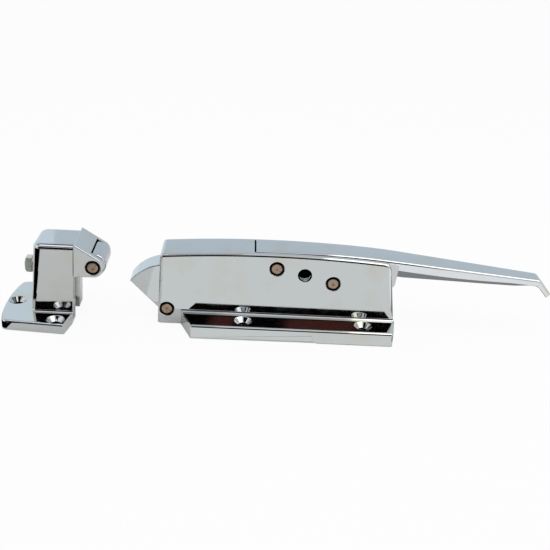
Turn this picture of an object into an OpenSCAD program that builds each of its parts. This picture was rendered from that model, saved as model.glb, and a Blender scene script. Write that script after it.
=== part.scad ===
// Walk-in door latch with its adjustable roller strike, both resting on their mounting faces.
// X runs along the latch towards the end of the handle, Y away from the viewer, Z off the mounting face.
// The origin is halfway between the latch's four mounting screws, on the mounting face.

/* [Housing] */
// Length of the housing along the mounting face
housing_len = 175; // [165:1:220]
// Width across the two side walls
housing_w = 30.2; // [29:0.1:36]
// Thickness of the side walls
wall_t = 3.4; // [3:0.1:4]
// Height of the top at its highest point
crown_h = 58.4; // [57.5:0.1:64]
// Distance from the bolt end to the highest point
crown_x = 87; // [70:1:110]
// Radius of the long curve of the top
crown_r = 1460; // [800:10:3000]
// Thickness of the closed roof
roof_t = 4; // [3:0.1:5]
// Lean of the bolt end
bolt_end_lean = 1.5; // [1:0.5:4]
// Lean of the handle end
handle_end_lean = 7.5; // [4:0.5:9]
// Rounding along the top edges
top_edge_r = 2.6; // [1:0.1:2.8]
// Rounding of the upright edges
end_edge_r = 2.5; // [1:0.1:3]
// Rounding of the walls' upper corner at the handle end
corner_r = 3.5; // [3:0.1:6]
// Thickness of the lip that closes the bolt end above the bolt
lip_t = 4; // [3:0.5:6]
// Height of the wall that closes the handle end below the handle
end_wall_h = 30; // [20:1:32]

/* [Mounting flanges] */
// Width of each flange beyond the side wall
flange_w = 21.8; // [20:0.1:28]
// Thickness of the flanges
flange_t = 10.4; // [8:0.1:12]
// Start of the flange from the bolt end, at the wall
flange_start = 17; // [15:0.5:22]
// How far the flange's bolt end is cut back at its outer edge
flange_cut = 8.6; // [4:0.1:12]
// How far the flange's handle end is cut back at its outer edge
flange_end_cut = 3.6; // [1:0.1:6]
// Rounding along the flange's outer top edge
flange_edge_r = 2; // [1:0.1:2.5]
// Rounding between the flange and the wall
flange_root_r = 3.2; // [1:0.1:4]
// Depth of the relief in the flange's outer face
relief_d = 1.4; // [0.5:0.1:2]

/* [Screw holes] */
// Distance between the two screws of a flange
screw_pitch = 87.2; // [80:0.1:96]
// Distance from the handle end to the nearest screws
screw_end_gap = 25.1; // [20:0.1:34]
// Distance from the side wall to the row of screws
screw_row = 10.9; // [10:0.1:12]
// Diameter of the screw holes
screw_hole_d = 6.8; // [5:0.1:7]
// Diameter of the countersinks
countersink_d = 13.1; // [11:0.1:13.5]

/* [Rivets] */
// Diameter of the rivet shanks
rivet_d = 8; // [7:0.1:8.4]
// Diameter of the rivet heads
rivet_head_d = 10.2; // [9.4:0.1:10.4]
// Diameter of the recess round each rivet head
recess_d = 10.95; // [10.6:0.05:11.6]
// Depth of the recess
recess_depth = 1.5; // [1.2:0.1:1.8]

/* [Bolt] */
// Distance of the bolt's pivot from the bolt end
bolt_pivot_x = 6.7; // [6.4:0.1:9]
// Height of the bolt's pivot
bolt_pivot_z = 11.6; // [11:0.1:13]
// Radius of the bolt's holding face about its pivot
bolt_r = 33.1; // [32:0.1:35]
// Width of the bolt
bolt_w = 19.5; // [18.5:0.1:20]
// Direction of the bolt's nose from the pivot
nose_angle = 145.6; // [140:0.2:148]
// Direction of the bolt's rear face
rear_angle = 60; // [58:1:70]
// Radius of the bolt's hub
hub_r = 6.1; // [5.9:0.1:6.5]
// Turn of the bolt from thrown to fully drawn back
bolt_turn = 50; // [44:1:52]

/* [Handle] */
// Distance of the handle's pivot from the bolt end
handle_pivot_x = 85.3; // [82:0.1:90]
// Depth of the handle's pivot below the top
handle_pivot_drop = 11.1; // [9.6:0.1:12]
// Reach of the handle's top plate ahead of its pivot
handle_lead = 15.2; // [13:0.1:18]
// Height of the handle's top plate above the housing's top
handle_proud = 0.8; // [0.4:0.1:1.5]
// Thickness of the handle's top plate
plate_t = 4.6; // [3.6:0.1:5]
// Thickness of the handle's side cheeks
cheek_t = 3.4; // [3:0.1:4.4]
// Turn of the handle from rest to its stop
handle_turn = 23; // [18:1:25]
// Distance from the pivot to where the top begins to curve down
curve_start = 19.7; // [15:0.1:28]
// Radius of the curve that bends the handle down
curve_r = 672; // [600:4:900]
// Slope of the handle beyond the curve
grip_slope = 6; // [4.5:0.1:6.5]
// Reach of the grip from the housing's end to its hook
grip_len = 105.5; // [90:0.5:130]
// Width of the grip at the hook
grip_end_w = 14.6; // [12:0.1:20]
// Depth of the grip's side face beside the housing
grip_side_t = 5.8; // [5.5:0.1:8.5]
// Depth of the grip at the hook
grip_end_t = 5; // [4:0.1:5.4]
// Width of the stiffening rib under the grip
rib_w = 8.5; // [5:0.1:10]
// Depth of the grip with its rib beside the housing
rib_depth = 12.6; // [10:0.1:14]
// Slope of the hook at the end of the grip
hook_slope = 50; // [30:1:54]
// Length of the hook
hook_len = 14.5; // [8:0.5:18]
// Reach of the handle's body beyond the housing's end at the mounting face
lug_reach = -1.2; // [-2:0.1:2]
// Height of the underside of the handle's body beside the housing's end
lug_z = 35; // [33.5:0.1:37]

/* [Stop and padlock] */
// Distance of the padlock hole from the handle's pivot
padlock_dx = 20.4; // [19.5:0.1:22]
// Depth of the padlock hole below the handle's pivot
padlock_drop = 4; // [3.5:0.1:6]
// Diameter of the padlock hole
padlock_d = 10.1; // [9:0.1:10.5]
// Distance of the stop rivet from the handle's pivot
stop_dx = 41.3; // [39:0.1:44]
// Depth of the stop rivet below the handle's pivot
stop_drop = 9.7; // [9:0.1:11]

/* [Pull link] */
// Distance of the link's pin from the bolt's pivot
bolt_arm = 11; // [10.8:0.1:11.4]
// Direction of the link's pin from the bolt's pivot
bolt_arm_angle = 105; // [102:1:108]
// Diameter of the link's two pins
link_pin_d = 5; // [4:0.1:5.2]
// Thickness of the link
link_t = 4; // [3:0.1:4.4]
// Half the width of the link
link_half_w = 5.6; // [5.4:0.1:5.8]
// Free travel in the slot, which lets the bolt spring back alone
lost_motion = 10; // [9.6:0.2:14]
// Distance of the link from the middle of the latch
link_shift = 3.9; // [3.6:0.1:4.1]

/* [Bolt spring] */
// Diameter of the spring's wire
wire_d = 1.5; // [1:0.1:1.6]
// Turns of the spring
spring_turns = 2.5; // [1.5:1:2.5]
// Reach of the leg that rests on the housing's cross rib
spring_foot = 20; // [19:0.5:21]
// Reach of the leg that turns the bolt
spring_arm = 10.8; // [9:0.1:11]

/* [Strike] */
// Gap between the housing's bolt end and the strike's column
strike_gap = 58.6; // [45:0.1:90]
// Sideways shift of the strike's middle from the latch's middle
strike_shift = -3; // [-6:0.5:6]
// Distance from the column's upper roller side to its foot on the outer side
column_len = 32.4; // [30:0.1:38]
// Width of the column
column_w = 33.4; // [32:0.1:40]
// Height of the column
column_h = 59.4; // [57:0.1:64]
// Lean of the column's outer side
column_lean = 3.4; // [2:0.2:4]
// Lean of the column's roller side
roller_side_lean = 2; // [0.6:0.1:2.4]
// Width of the opening at the foot of the roller side
foot_opening_w = 16; // [14:0.5:22]
// Height of that opening
foot_opening_h = 15; // [12:0.5:16]
// Thickness of the column's walls
column_wall = 5; // [4:0.1:6]
// Width of the flange in front of and behind the column
strike_flange_w = 19.6; // [18.6:0.1:24]
// Length of the flange beyond the column's outer side
strike_flange_len = 21; // [20:0.1:28]
// How far the flange narrows on each side towards its rounded end
strike_flange_taper = 3.8; // [1:0.1:5]
// Thickness of the flange
strike_flange_t = 7.4; // [6:0.1:8]
// Radius of the flange's rounded end
strike_end_r = 136; // [90:2:200]
// Distance of the end screw from the column's outer side
end_screw_gap = 13.1; // [11.5:0.1:14.8]
// Distance of the side screws from the column's roller side
side_screw_x = 12.2; // [12:0.1:18]
// Distance of the side screws from the column's face
side_screw_y = 11.7; // [11:0.1:11.8]

/* [Roller head] */
// Distance of the roller's axis from the column
roller_x = 13.2; // [12.6:0.1:15]
// Height of the roller's axis
roller_z = 43.9; // [43:0.1:47]
// Radius of the roller
roller_r = 8.6; // [8:0.1:8.8]
// Length of the roller
roller_len = 25.8; // [22:0.1:28]
// Rounding of the roller's ends
roller_edge_r = 1.6; // [0.6:0.1:2]
// Gap between the roller and the pocket behind it
roller_gap = 1.15; // [0.5:0.05:1.3]
// Radius of the head's rounded nose
nose_r = 7.6; // [7:0.1:8]
// Thickness of the head's cheeks
head_cheek_t = 4.2; // [3.6:0.1:5]
// Thickness of the head's tongue
tongue_t = 2.4; // [2:0.1:4]
// Width of the tongue
tongue_w = 11; // [10:0.5:13]
// Height of the tongue's foot
tongue_z = 10.8; // [9:0.1:14]
// Width of the guide rib on the back of the head
guide_w = 9.4; // [8.6:0.1:10]
// Depth of the guide rib
guide_t = 1.8; // [1.2:0.1:2.2]
// Height of the guide rib's upper end
guide_top = 47; // [44:0.5:48]

/* [Adjusting bolt] */
// Diameter of the adjusting bolt
adjust_d = 6.4; // [5:0.1:7]
// Height of the adjusting bolt
adjust_z = 37.6; // [36:0.1:39]
// Width of its head across the flats
adjust_flats = 11.1; // [10:0.1:13]
// Height of its head
adjust_head_t = 5; // [4:0.1:6]
// How far the head can be raised
adjust_up = 4; // [0:0.5:4]
// How far the head can be lowered
adjust_down = 8; // [2:0.5:8]

/* [Clearances] */
// Radial clearance of a pin in its hole
pin_fit = 0.05; // [0.02:0.01:0.1]
// Clearance between sliding sides
side_fit = 0.35; // [0.2:0.05:0.5]
// Gap between the bolt and the lip above it
mouth_gap = 1; // [0.6:0.1:2]
// Gap between the roof and the handle's top plate
lead_gap = 0.6; // [0.4:0.1:1]

/* [Hidden] */

$fn = 64;
// Segments round the long shallow curves
long_fn = 720;
// Small overlap that joins solids and opens cuts
eps = 0.01;
// Straight sides lie this far inside the rounds that they join
tuck = 0.02;
// Length that reaches past every piece
far = 400;

chrome = [0.80, 0.82, 0.84];
chrome_dark = [0.66, 0.68, 0.71];
rivet_steel = [0.46, 0.36, 0.30];
zinc_steel = [0.70, 0.71, 0.66];
spring_steel = [0.34, 0.35, 0.37];

inner_w = housing_w - 2 * wall_t;
latch_mid = housing_w / 2;
roof_z = crown_h - roof_t;
origin_x = housing_len - screw_end_gap - screw_pitch / 2;

// Pins of the latch, as [x, z] in the latch's own corner
bolt_axis = [bolt_pivot_x, bolt_pivot_z];
handle_axis = [handle_pivot_x, crown_h - handle_pivot_drop];
padlock_axis = handle_axis + [padlock_dx, -padlock_drop];
stop_axis = handle_axis + [stop_dx, -stop_drop];

// Linkage: the handle's lower arm is as long as gives the bolt its whole turn
link_pin_at = bolt_axis + bolt_arm * dir(bolt_arm_angle);
arm_len = bolt_arm * (cos(bolt_arm_angle - bolt_turn) - cos(bolt_arm_angle)) / (2 * sin(handle_turn / 2));
arm_pin_at = handle_axis + arm_len * dir(-90 - handle_turn / 2);
link_run = arm_pin_at - link_pin_at;
link_len = norm(link_run);
// The pin wanders this far to each side of the slot's middle as the handle turns
slot_wander = (bolt_arm * (1 - cos(bolt_turn / 2)) + arm_len * (1 - cos(handle_turn / 2))) / 2;
slot_half_w = link_pin_d / 2 + slot_wander + 0.2;
link_tilt = atan2(link_run[1], link_run[0]) - asin(slot_wander / link_len);
slot_end_gap = 0.4;
link_y = latch_mid + link_shift;
link_slot_w = link_t + 2 * side_fit;

// Bolt
bolt_y = (housing_w - bolt_w) / 2;
tangent_angle = nose_angle + acos(hub_r / bolt_r);
lip_z = bolt_pivot_z + bolt_r + mouth_gap;
coil_r = rivet_d / 2 + pin_fit + 0.3 + wire_d / 2;
coil_pitch = wire_d + 0.1;
coil_w = spring_turns * coil_pitch + wire_d;
spring_pocket_w = coil_w + 1.2;
link_slot_y = link_y - link_slot_w / 2;
spring_pocket_y = (bolt_y + link_slot_y - spring_pocket_w) / 2 + 0.35;
spring_y = spring_pocket_y + spring_pocket_w / 2;
pocket_r = coil_r + wire_d / 2 + 0.5;
seat_gap = 0.3;
cross_rib_z = bolt_pivot_z - coil_r - wire_d / 2 - seat_gap;
cross_rib_x = bolt_pivot_x + spring_foot - 5;
cross_rib_w = 5;

// Handle
handle_w = inner_w - 2 * side_fit;
handle_y = wall_t + side_fit;
plate_top = crown_h + handle_proud;
lead_r = norm([handle_lead, plate_top - handle_axis[1]]);
curve_x = handle_pivot_x + curve_start;
curve_end_x = curve_x + curve_r * sin(grip_slope);
curve_end_z = plate_top - curve_r * (1 - cos(grip_slope));
tip_x = housing_len + grip_len;
tip_z = curve_end_z - (tip_x - curve_end_x) * tan(grip_slope);
body_end_x = housing_len + lug_reach;
boss_r = rivet_d / 2 + 3;
stop_angle = atan2(-stop_drop, stop_dx);
stop_r = norm([stop_dx, stop_drop]);
stop_slot_gap = 0.3;
stop_slot_half_w = rivet_d / 2 + stop_slot_gap;
stop_end = handle_axis + stop_r * dir(stop_angle - handle_turn);
cheek_margin = 4;

// Strike, measured from the foot of the column's roller side
head_w = roller_len + 2 * side_fit + 2 * head_cheek_t;
head_x = 0.2;
pocket_clear_r = roller_r + roller_gap;
head_top_z = column_h + 1.6;
pad_half_w = adjust_flats / 2 + 2.4;
seat_depth = 0.3;
pad_x = (adjust_z + adjust_up + pad_half_w) * tan(column_lean) - column_len + seat_depth;
washer_t = 1.6;
lock_washer_t = 2;
adjust_head_x = pad_x - washer_t - lock_washer_t - adjust_head_t;
adjust_tip_x = 1.8;
// The foot of the roller side lies this far back from its top
foot_back = column_h * tan(roller_side_lean);

function dir(a) = [cos(a), sin(a)];

// Places what is drawn from the latch's own corner: bolt end, near wall, mounting face
module latch_frame() {
    translate([-origin_x, -latch_mid, 0]) children();
}

// Places what is drawn from the strike: foot of the column's roller side, middle of the column
module strike_frame() {
    translate([-origin_x - strike_gap, strike_shift, 0]) children();
}

// Extrudes an outline drawn in X and Z from y to y + w
module across(y, w) {
    translate([0, y + w, 0]) rotate([90, 0, 0]) linear_extrude(w) children();
}

// Round bar or bore along Y at p = [x, z]
module y_rod(p, r, y, w) {
    translate([p[0], y + w, p[1]]) rotate([90, 0, 0]) cylinder(r = r, h = w);
}

// Rectangle with its own radius at each end: r1 on the low X side, r2 on the high X side
module round_rect(size, r1, r2) {
    translate([r1, 0]) square([size[0] - r1 - r2, size[1]]);
    translate([0, r1]) square([r1 + eps, size[1] - 2 * r1]);
    translate([size[0] - r2 - eps, r2]) square([r2 + eps, size[1] - 2 * r2]);
    for (y = [r1, size[1] - r1]) translate([r1, y]) circle(r1);
    for (y = [r2, size[1] - r2]) translate([size[0] - r2, y]) circle(r2);
}

// Straight bar from a to b with round ends
module slot_outline(a, b, r) {
    d = b - a;
    translate(a) circle(r);
    translate(b) circle(r);
    translate(a) rotate(atan2(d[1], d[0])) translate([0, tuck - r]) square([norm(d), 2 * (r - tuck)]);
}

// Screw hole with a countersink from above
module countersunk_hole(t) {
    sink = (countersink_d - screw_hole_d) / 2;
    translate([0, 0, -1]) cylinder(d = screw_hole_d, h = t + 2);
    translate([0, 0, t - sink]) cylinder(d1 = screw_hole_d, d2 = countersink_d + 2, h = sink + 1);
}

// Rivet along Y with a formed head at each end, dimpled where it was set
module rivet(p, span, depth) {
    head_t = depth - 0.3;
    difference() {
        union() {
            y_rod(p, rivet_d / 2, depth - eps, span - 2 * depth + 2 * eps);
            for (y = [0.3, span - depth]) y_rod(p, rivet_head_d / 2, y, head_t);
        }
        for (m = [0, 1]) translate([p[0], m * span, p[1]]) mirror([0, m, 0]) rotate([-90, 0, 0]) {
            translate([0, 0, 0.3 - eps]) cylinder(r1 = 1.4, r2 = 0.3, h = 0.7);
            translate([0, 0, 0.3 - eps]) cylinder(r1 = rivet_head_d / 2 - 1, r2 = rivet_head_d / 2 - 1.3, h = 0.3);
        }
    }
}

// Recessed rivet hole through the whole housing
module rivet_hole(p) {
    y_rod(p, rivet_d / 2 + pin_fit, -1, housing_w + 2);
    for (y = [-1, housing_w - recess_depth]) y_rod(p, recess_d / 2, y, recess_depth + 1);
}

// Long bar whose top follows the crown, with rounded top edges
module crowned_bar(w, top_r, edge_r) {
    span = 8;
    depth = 80;
    translate([crown_x, latch_mid, crown_h - crown_r])
        rotate([90, 0, 0]) rotate([0, 0, 90 - span / 2])
            rotate_extrude(angle = span, $fn = long_fn) {
                translate([top_r - depth, -w / 2]) square([depth - edge_r, w]);
                translate([top_r - edge_r - eps, edge_r - w / 2]) square([edge_r + eps, w - 2 * edge_r]);
                for (s = [-1, 1]) translate([top_r - edge_r, s * (w / 2 - edge_r)]) circle(edge_r);
            }
}

// Upright prism of the housing's width that leans at the bolt end and at the handle end
module leaning_prisms() {
    intersection() {
        rotate([0, bolt_end_lean, 0]) translate([0, 0, -20])
            linear_extrude(120) round_rect([far, housing_w], end_edge_r, end_edge_r);
        translate([housing_len, 0, 0]) rotate([0, -handle_end_lean, 0]) translate([-far, 0, -20])
            linear_extrude(120) round_rect([far, housing_w], end_edge_r, end_edge_r);
        translate([-20, -1, 0]) cube([far, housing_w + 2, crown_h + 10]);
    }
}

// Centre of the round between the top's long curve and the leaning handle end
function corner_x(z) = housing_len - z * tan(handle_end_lean) - corner_r / cos(handle_end_lean);

function corner_z(z) = crown_h - crown_r + sqrt(pow(crown_r - corner_r, 2) - pow(corner_x(z) - crown_x, 2));

// Rounds the upper corner of the side walls at the handle end
module handle_end_corner() {
    z = corner_z(corner_z(corner_z(crown_h - corner_r)));
    centre = [corner_x(z), z];
    up = centre - [crown_x, crown_h - crown_r];
    reach = 3 * corner_r;
    across(-1, housing_w + 2) difference() {
        polygon([
            centre,
            centre + reach * dir(handle_end_lean),
            centre + 1.5 * reach * dir(45),
            centre + reach * up / norm(up)
        ]);
        translate(centre) circle(corner_r + tuck);
    }
}

// One mounting flange on the near side, before its holes
module flange_solid() {
    root = 1;
    end_x = housing_len - flange_t * tan(handle_end_lean) / 2;
    intersection() {
        translate([-1, 0, 0]) rotate([90, 0, 90]) linear_extrude(far) {
            translate([flange_edge_r - flange_w, 0]) square([flange_w + root - flange_edge_r, flange_t]);
            translate([-flange_w, 0]) square([flange_edge_r + eps, flange_t - flange_edge_r]);
            translate([flange_edge_r - flange_w, flange_t - flange_edge_r]) circle(flange_edge_r);
            translate([0, flange_t - 1]) difference() {
                translate([-flange_root_r, 0]) square([flange_root_r + root, flange_root_r + 1]);
                translate([tuck - flange_root_r, flange_root_r + 1 - tuck]) circle(flange_root_r);
                translate([-2 * flange_root_r, flange_root_r + 1 - tuck]) square([2 * flange_root_r, flange_root_r]);
            }
        }
        linear_extrude(crown_h) polygon([
            [flange_start - flange_cut * root / flange_w, root],
            [flange_start + flange_cut * (flange_w + 1) / flange_w, -flange_w - 1],
            [end_x - flange_end_cut * (flange_w + 1) / flange_w, -flange_w - 1],
            [end_x + flange_end_cut * root / flange_w, root]
        ]);
    }
}

// Long wedge-shaped relief low in the flange's outer face
module flange_relief() {
    start = flange_start + flange_cut + 1.5;
    end = origin_x + 5.5;
    across(-flange_w - 1, relief_d + 1) polygon([
        [start, -1],
        [start, 0.9],
        [end, flange_t * 0.64],
        [end + 5, -1]
    ]);
}

module screw_holes() {
    for (x = [-screw_pitch / 2, screw_pitch / 2]) translate([origin_x + x, -screw_row, 0]) countersunk_hole(flange_t);
}

module near_flange() {
    difference() {
        flange_solid();
        flange_relief();
        screw_holes();
    }
}

// Hollow of the housing, open below, at the bolt's mouth and behind the roof
module housing_hollow() {
    back_x = housing_len - end_wall_h * tan(handle_end_lean) - wall_t;
    intersection() {
        crowned_bar(inner_w, crown_r - roof_t, 1);
        translate([lip_t + 1.5, 0, -1]) cube([back_x - lip_t - 1.5, housing_w, crown_h]);
    }
    translate([-5, wall_t, -1]) cube([lip_t + 10, inner_w, lip_z + 1]);
    translate([handle_pivot_x, wall_t, -1]) cube([back_x - handle_pivot_x, inner_w, crown_h + 10]);
    translate([handle_pivot_x, wall_t, end_wall_h]) cube([far, inner_w, crown_h]);
    y_rod(handle_axis, lead_r + lead_gap, wall_t, inner_w);
}

// Die-cast housing
module housing() latch_frame() color(chrome) {
    difference() {
        union() {
            difference() {
                intersection() {
                    crowned_bar(housing_w, crown_r, top_edge_r);
                    leaning_prisms();
                }
                handle_end_corner();
                housing_hollow();
            }
            near_flange();
            translate([0, housing_w, 0]) mirror([0, 1, 0]) near_flange();
            translate([cross_rib_x, wall_t - 1, 0]) cube([cross_rib_w, inner_w + 2, cross_rib_z]);
        }
        rivet_hole(bolt_axis);
        rivet_hole(handle_axis);
        rivet_hole(stop_axis);
        y_rod(padlock_axis, padlock_d / 2, -1, housing_w + 2);
    }
}

// Outline of the bolt about its pivot: an arc that holds, a flat that the strike's roller rides up
module bolt_outline() {
    reach = 2 * bolt_r;
    translate(bolt_axis) {
        circle(hub_r);
        intersection() {
            circle(bolt_r, $fn = 180);
            polygon([
                hub_r * dir(tangent_angle),
                hub_r * dir(tangent_angle) + reach * dir(tangent_angle - 90),
                reach * dir(100),
                hub_r * dir(rear_angle - 90) + reach * dir(rear_angle),
                hub_r * dir(rear_angle - 90)
            ]);
        }
    }
}

// Fan-shaped slot that the link sweeps inside the bolt
module link_fan() {
    r = link_half_w + 0.6;
    low = link_tilt - 6;
    high = link_tilt + bolt_turn + 6;
    translate(link_pin_at) {
        circle(r);
        polygon([
            r * dir(high + 90),
            r * dir(high + 90) + far * dir(high),
            far * dir((low + high) / 2),
            r * dir(low - 90) + far * dir(low),
            r * dir(low - 90)
        ]);
    }
}

// Spring-loaded bolt
module bolt() latch_frame() color(chrome) {
    difference() {
        across(bolt_y, bolt_w) bolt_outline();
        y_rod(bolt_axis, rivet_d / 2 + pin_fit, 0, housing_w);
        y_rod(link_pin_at, link_pin_d / 2 + pin_fit, bolt_y + 2, housing_w);
        across(link_slot_y, link_slot_w) link_fan();
        y_rod(bolt_axis, pocket_r, spring_pocket_y, spring_pocket_w);
        translate([bolt_pivot_x, spring_pocket_y, bolt_pivot_z - pocket_r])
            cube([far, spring_pocket_w, pocket_r + coil_r + wire_d / 2 + seat_gap]);
    }
}

module bolt_pin() latch_frame() color(rivet_steel) rivet(bolt_axis, housing_w, recess_depth);

module handle_pin() latch_frame() color(rivet_steel) rivet(handle_axis, housing_w, recess_depth);

module stop_pin() latch_frame() color(rivet_steel) rivet(stop_axis, housing_w, recess_depth);

// Washers that centre the bolt between the walls
module bolt_washers() latch_frame() color(zinc_steel) {
    gap = bolt_y - wall_t;
    t = gap - 0.4;
    for (y = [wall_t + 0.2, housing_w - wall_t - 0.2 - t]) difference() {
        y_rod(bolt_axis, hub_r, y, t);
        y_rod(bolt_axis, rivet_d / 2 + pin_fit, y - 1, t + 2);
    }
}

// Tube of eight sides along a path that winds about the Y axis
module wire(path, r) {
    sides = 8;
    n = len(path);
    function tangent(i) = path[min(i + 1, n - 1)] - path[max(i - 1, 0)];
    function unit(v) = v / norm(v);
    function ring(i) = let (
        t = unit(tangent(i)),
        u = unit(cross([0, 1, 0], t)),
        v = cross(t, u)
    ) [for (k = [0 : sides - 1]) path[i] + r * (cos(360 * k / sides) * u + sin(360 * k / sides) * v)];
    polyhedron(
        points = [for (i = [0 : n - 1]) each ring(i)],
        faces = [
            [for (k = [0 : sides - 1]) k],
            for (i = [0 : n - 2]) for (k = [0 : sides - 1]) let (j = (k + 1) % sides)
                [i * sides + j, i * sides + k, (i + 1) * sides + k, (i + 1) * sides + j],
            [for (k = [sides - 1 : -1 : 0]) (n - 1) * sides + k]
        ]
    );
}

// Torsion spring: one leg on the housing's cross rib, the other under the bolt
module bolt_spring() latch_frame() color(spring_steel) {
    steps = round(spring_turns * 24);
    width = spring_turns * coil_pitch;
    coil = [for (i = [0 : steps]) let (a = -90 - 15 * i)
        [coil_r * cos(a), width * (i / steps - 0.5), coil_r * sin(a)]];
    path = concat(
        [[spring_foot, -width / 2, -coil_r], [spring_foot / 2, -width / 2, -coil_r]],
        coil,
        [[spring_arm / 2, width / 2, coil_r], [spring_arm, width / 2, coil_r]]
    );
    translate([bolt_pivot_x, spring_y, bolt_pivot_z]) wire(path, wire_d / 2);
}

// Pin that joins the link to the bolt, pressed in from the far side
module bolt_link_pin() latch_frame() color(zinc_steel)
    y_rod(link_pin_at, link_pin_d / 2, bolt_y + 2.2, bolt_w - 2.4);

// Flat steel link, slotted where the handle's pin pulls it
module pull_link() latch_frame() color(zinc_steel) {
    u = dir(link_tilt);
    slot_high = link_pin_at + (link_len + slot_end_gap + link_pin_d / 2 - slot_half_w) * u;
    slot_low = slot_high - (lost_motion + slot_end_gap) * u;
    across(link_y - link_t / 2, link_t) difference() {
        slot_outline(link_pin_at, slot_high + 1.5 * u, link_half_w);
        translate(link_pin_at) circle(link_pin_d / 2 + pin_fit);
        slot_outline(slot_low, slot_high, slot_half_w);
    }
}

// Top line of the handle: level, then curving down, then a straight slope to the hook
function handle_top(x) = x < curve_x ? plate_top
    : x < curve_end_x ? plate_top - curve_r + sqrt(curve_r * curve_r - (x - curve_x) * (x - curve_x))
    : curve_end_z - (x - curve_end_x) * tan(grip_slope);

function top_points(x1, x2, n) = [for (i = [0 : n]) let (x = x1 + (x2 - x1) * i / n) [x, handle_top(x)]];

// Outline of the handle's top plate and grip with its hook, from the side
module grip_profile(low_end) {
    hook = dir(-hook_slope);
    across_hook = dir(-hook_slope - 90);
    tip = [tip_x, tip_z];
    bend = 2;
    polygon(concat(
        [[handle_pivot_x - lead_r, plate_top - plate_t], [handle_pivot_x - lead_r, plate_top]],
        top_points(curve_x, curve_end_x, 12),
        top_points(curve_end_x + 1, tip_x - bend, 1),
        [tip + [0, -0.35], tip + bend * hook + [0.2, 0.1], tip + hook_len * hook],
        [tip + hook_len * hook + (grip_end_t - 0.9) * across_hook],
        [tip + 3.5 * hook + (grip_end_t - 0.6) * across_hook, tip + [-0.5, -grip_end_t]],
        [low_end],
        [[body_end_x - 1, handle_top(body_end_x) - plate_t]]
    ));
}

// Outline of the grip from above: as wide as the body beside the housing, narrower towards the hook
module grip_plan() {
    r = 3.2;
    tip_w = grip_end_w;
    end_x = tip_x + hook_len;
    polygon([
        [handle_pivot_x - lead_r - 1, handle_y],
        [body_end_x - 6, handle_y],
        [tip_x, latch_mid - tip_w / 2],
        [end_x, latch_mid - tip_w / 2 + 0.6],
        [end_x, latch_mid + tip_w / 2 - 0.6],
        [tip_x, latch_mid + tip_w / 2],
        [body_end_x - 6, handle_y + handle_w],
        [handle_pivot_x - lead_r - 1, handle_y + handle_w]
    ]);
}

// Cheek outline: hub, lower arm, fan round the stop rivet and the end beside the housing
module cheek_outline() {
    top = plate_top - plate_t / 2;
    low = stop_end + [0, -stop_slot_half_w - cheek_margin];
    lug_r = 4;
    lug_x = body_end_x - 1.8;
    slot_outline(handle_axis, arm_pin_at, boss_r - 1);
    translate(handle_axis) circle(boss_r);
    translate(stop_end) circle(stop_slot_half_w + cheek_margin);
    polygon([
        [handle_pivot_x - 7, handle_axis[1]],
        [handle_pivot_x - 7, top],
        [curve_x, top],
        [body_end_x, handle_top(body_end_x) - plate_t / 2],
        [lug_x, lug_z + lug_r],
        [lug_x - lug_r, lug_z],
        [stop_end[0] + 22, lug_z - 6],
        low,
        [handle_pivot_x + 4, arm_pin_at[1] + 2]
    ]);
    translate([lug_x - lug_r - tuck, lug_z + lug_r + tuck]) circle(lug_r);
}

// Arc slot in which the stop rivet travels
module stop_slot() {
    y = handle_y - 1;
    w = handle_w + 2;
    translate([handle_axis[0], y + w, handle_axis[1]]) rotate([90, 0, 0])
        rotate([0, 0, stop_angle - handle_turn]) rotate_extrude(angle = handle_turn, $fn = 128)
            translate([stop_r - stop_slot_half_w + tuck, 0]) square([2 * (stop_slot_half_w - tuck), w]);
    y_rod(stop_axis, stop_slot_half_w, y, w);
    y_rod(stop_end, stop_slot_half_w, y, w);
}

// Cast handle: a top plate that runs out to the hooked grip, on two cheeks that hang in the housing
module handle() latch_frame() color(chrome) {
    side_end = [tip_x - 22, handle_top(tip_x - 22) - grip_end_t - 0.4];
    rib_end = [tip_x - 2, handle_top(tip_x - 2) - grip_end_t];
    difference() {
        union() {
            intersection() {
                across(handle_y, handle_w) grip_profile(side_end);
                linear_extrude(crown_h + 20) grip_plan();
                union() {
                    translate([handle_pivot_x, 0, 0]) cube([far, housing_w, crown_h + 20]);
                    y_rod(handle_axis, lead_r, 0, housing_w);
                }
            }
            intersection() {
                linear_extrude(crown_h + 20) grip_plan();
                across(handle_y, handle_w) polygon([
                    [body_end_x - 4, handle_top(body_end_x) - plate_t + 1],
                    [body_end_x - 4, handle_top(body_end_x) - grip_side_t],
                    side_end,
                    side_end + [0, 2]
                ]);
            }
            across(latch_mid - rib_w / 2, rib_w) polygon([
                [body_end_x - 4, handle_top(body_end_x) - plate_t + 1],
                [body_end_x - 4, handle_top(body_end_x) - rib_depth],
                [body_end_x + 4, handle_top(body_end_x) - rib_depth],
                rib_end,
                rib_end + [0, 2]
            ]);
            for (y = [handle_y, handle_y + handle_w - cheek_t]) across(y, cheek_t) cheek_outline();
            for (y = [handle_y, handle_y + handle_w - cheek_t - 2]) y_rod(handle_axis, boss_r, y, cheek_t + 2);
            intersection() {
                across(handle_y, handle_w) cheek_outline();
                translate([body_end_x - cheek_t, 0, 0]) cube([cheek_t, housing_w, crown_h]);
            }
        }
        y_rod(handle_axis, rivet_d / 2 + pin_fit, 0, housing_w);
        y_rod(arm_pin_at, link_pin_d / 2 + pin_fit, 0, housing_w);
        y_rod(padlock_axis, padlock_d / 2 + 0.4, 0, housing_w);
        stop_slot();
    }
}

// Pin through both cheeks of the handle, which pulls the link
module handle_link_pin() latch_frame() color(zinc_steel)
    y_rod(arm_pin_at, link_pin_d / 2, handle_y + 0.2, handle_w - 0.4);

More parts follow.
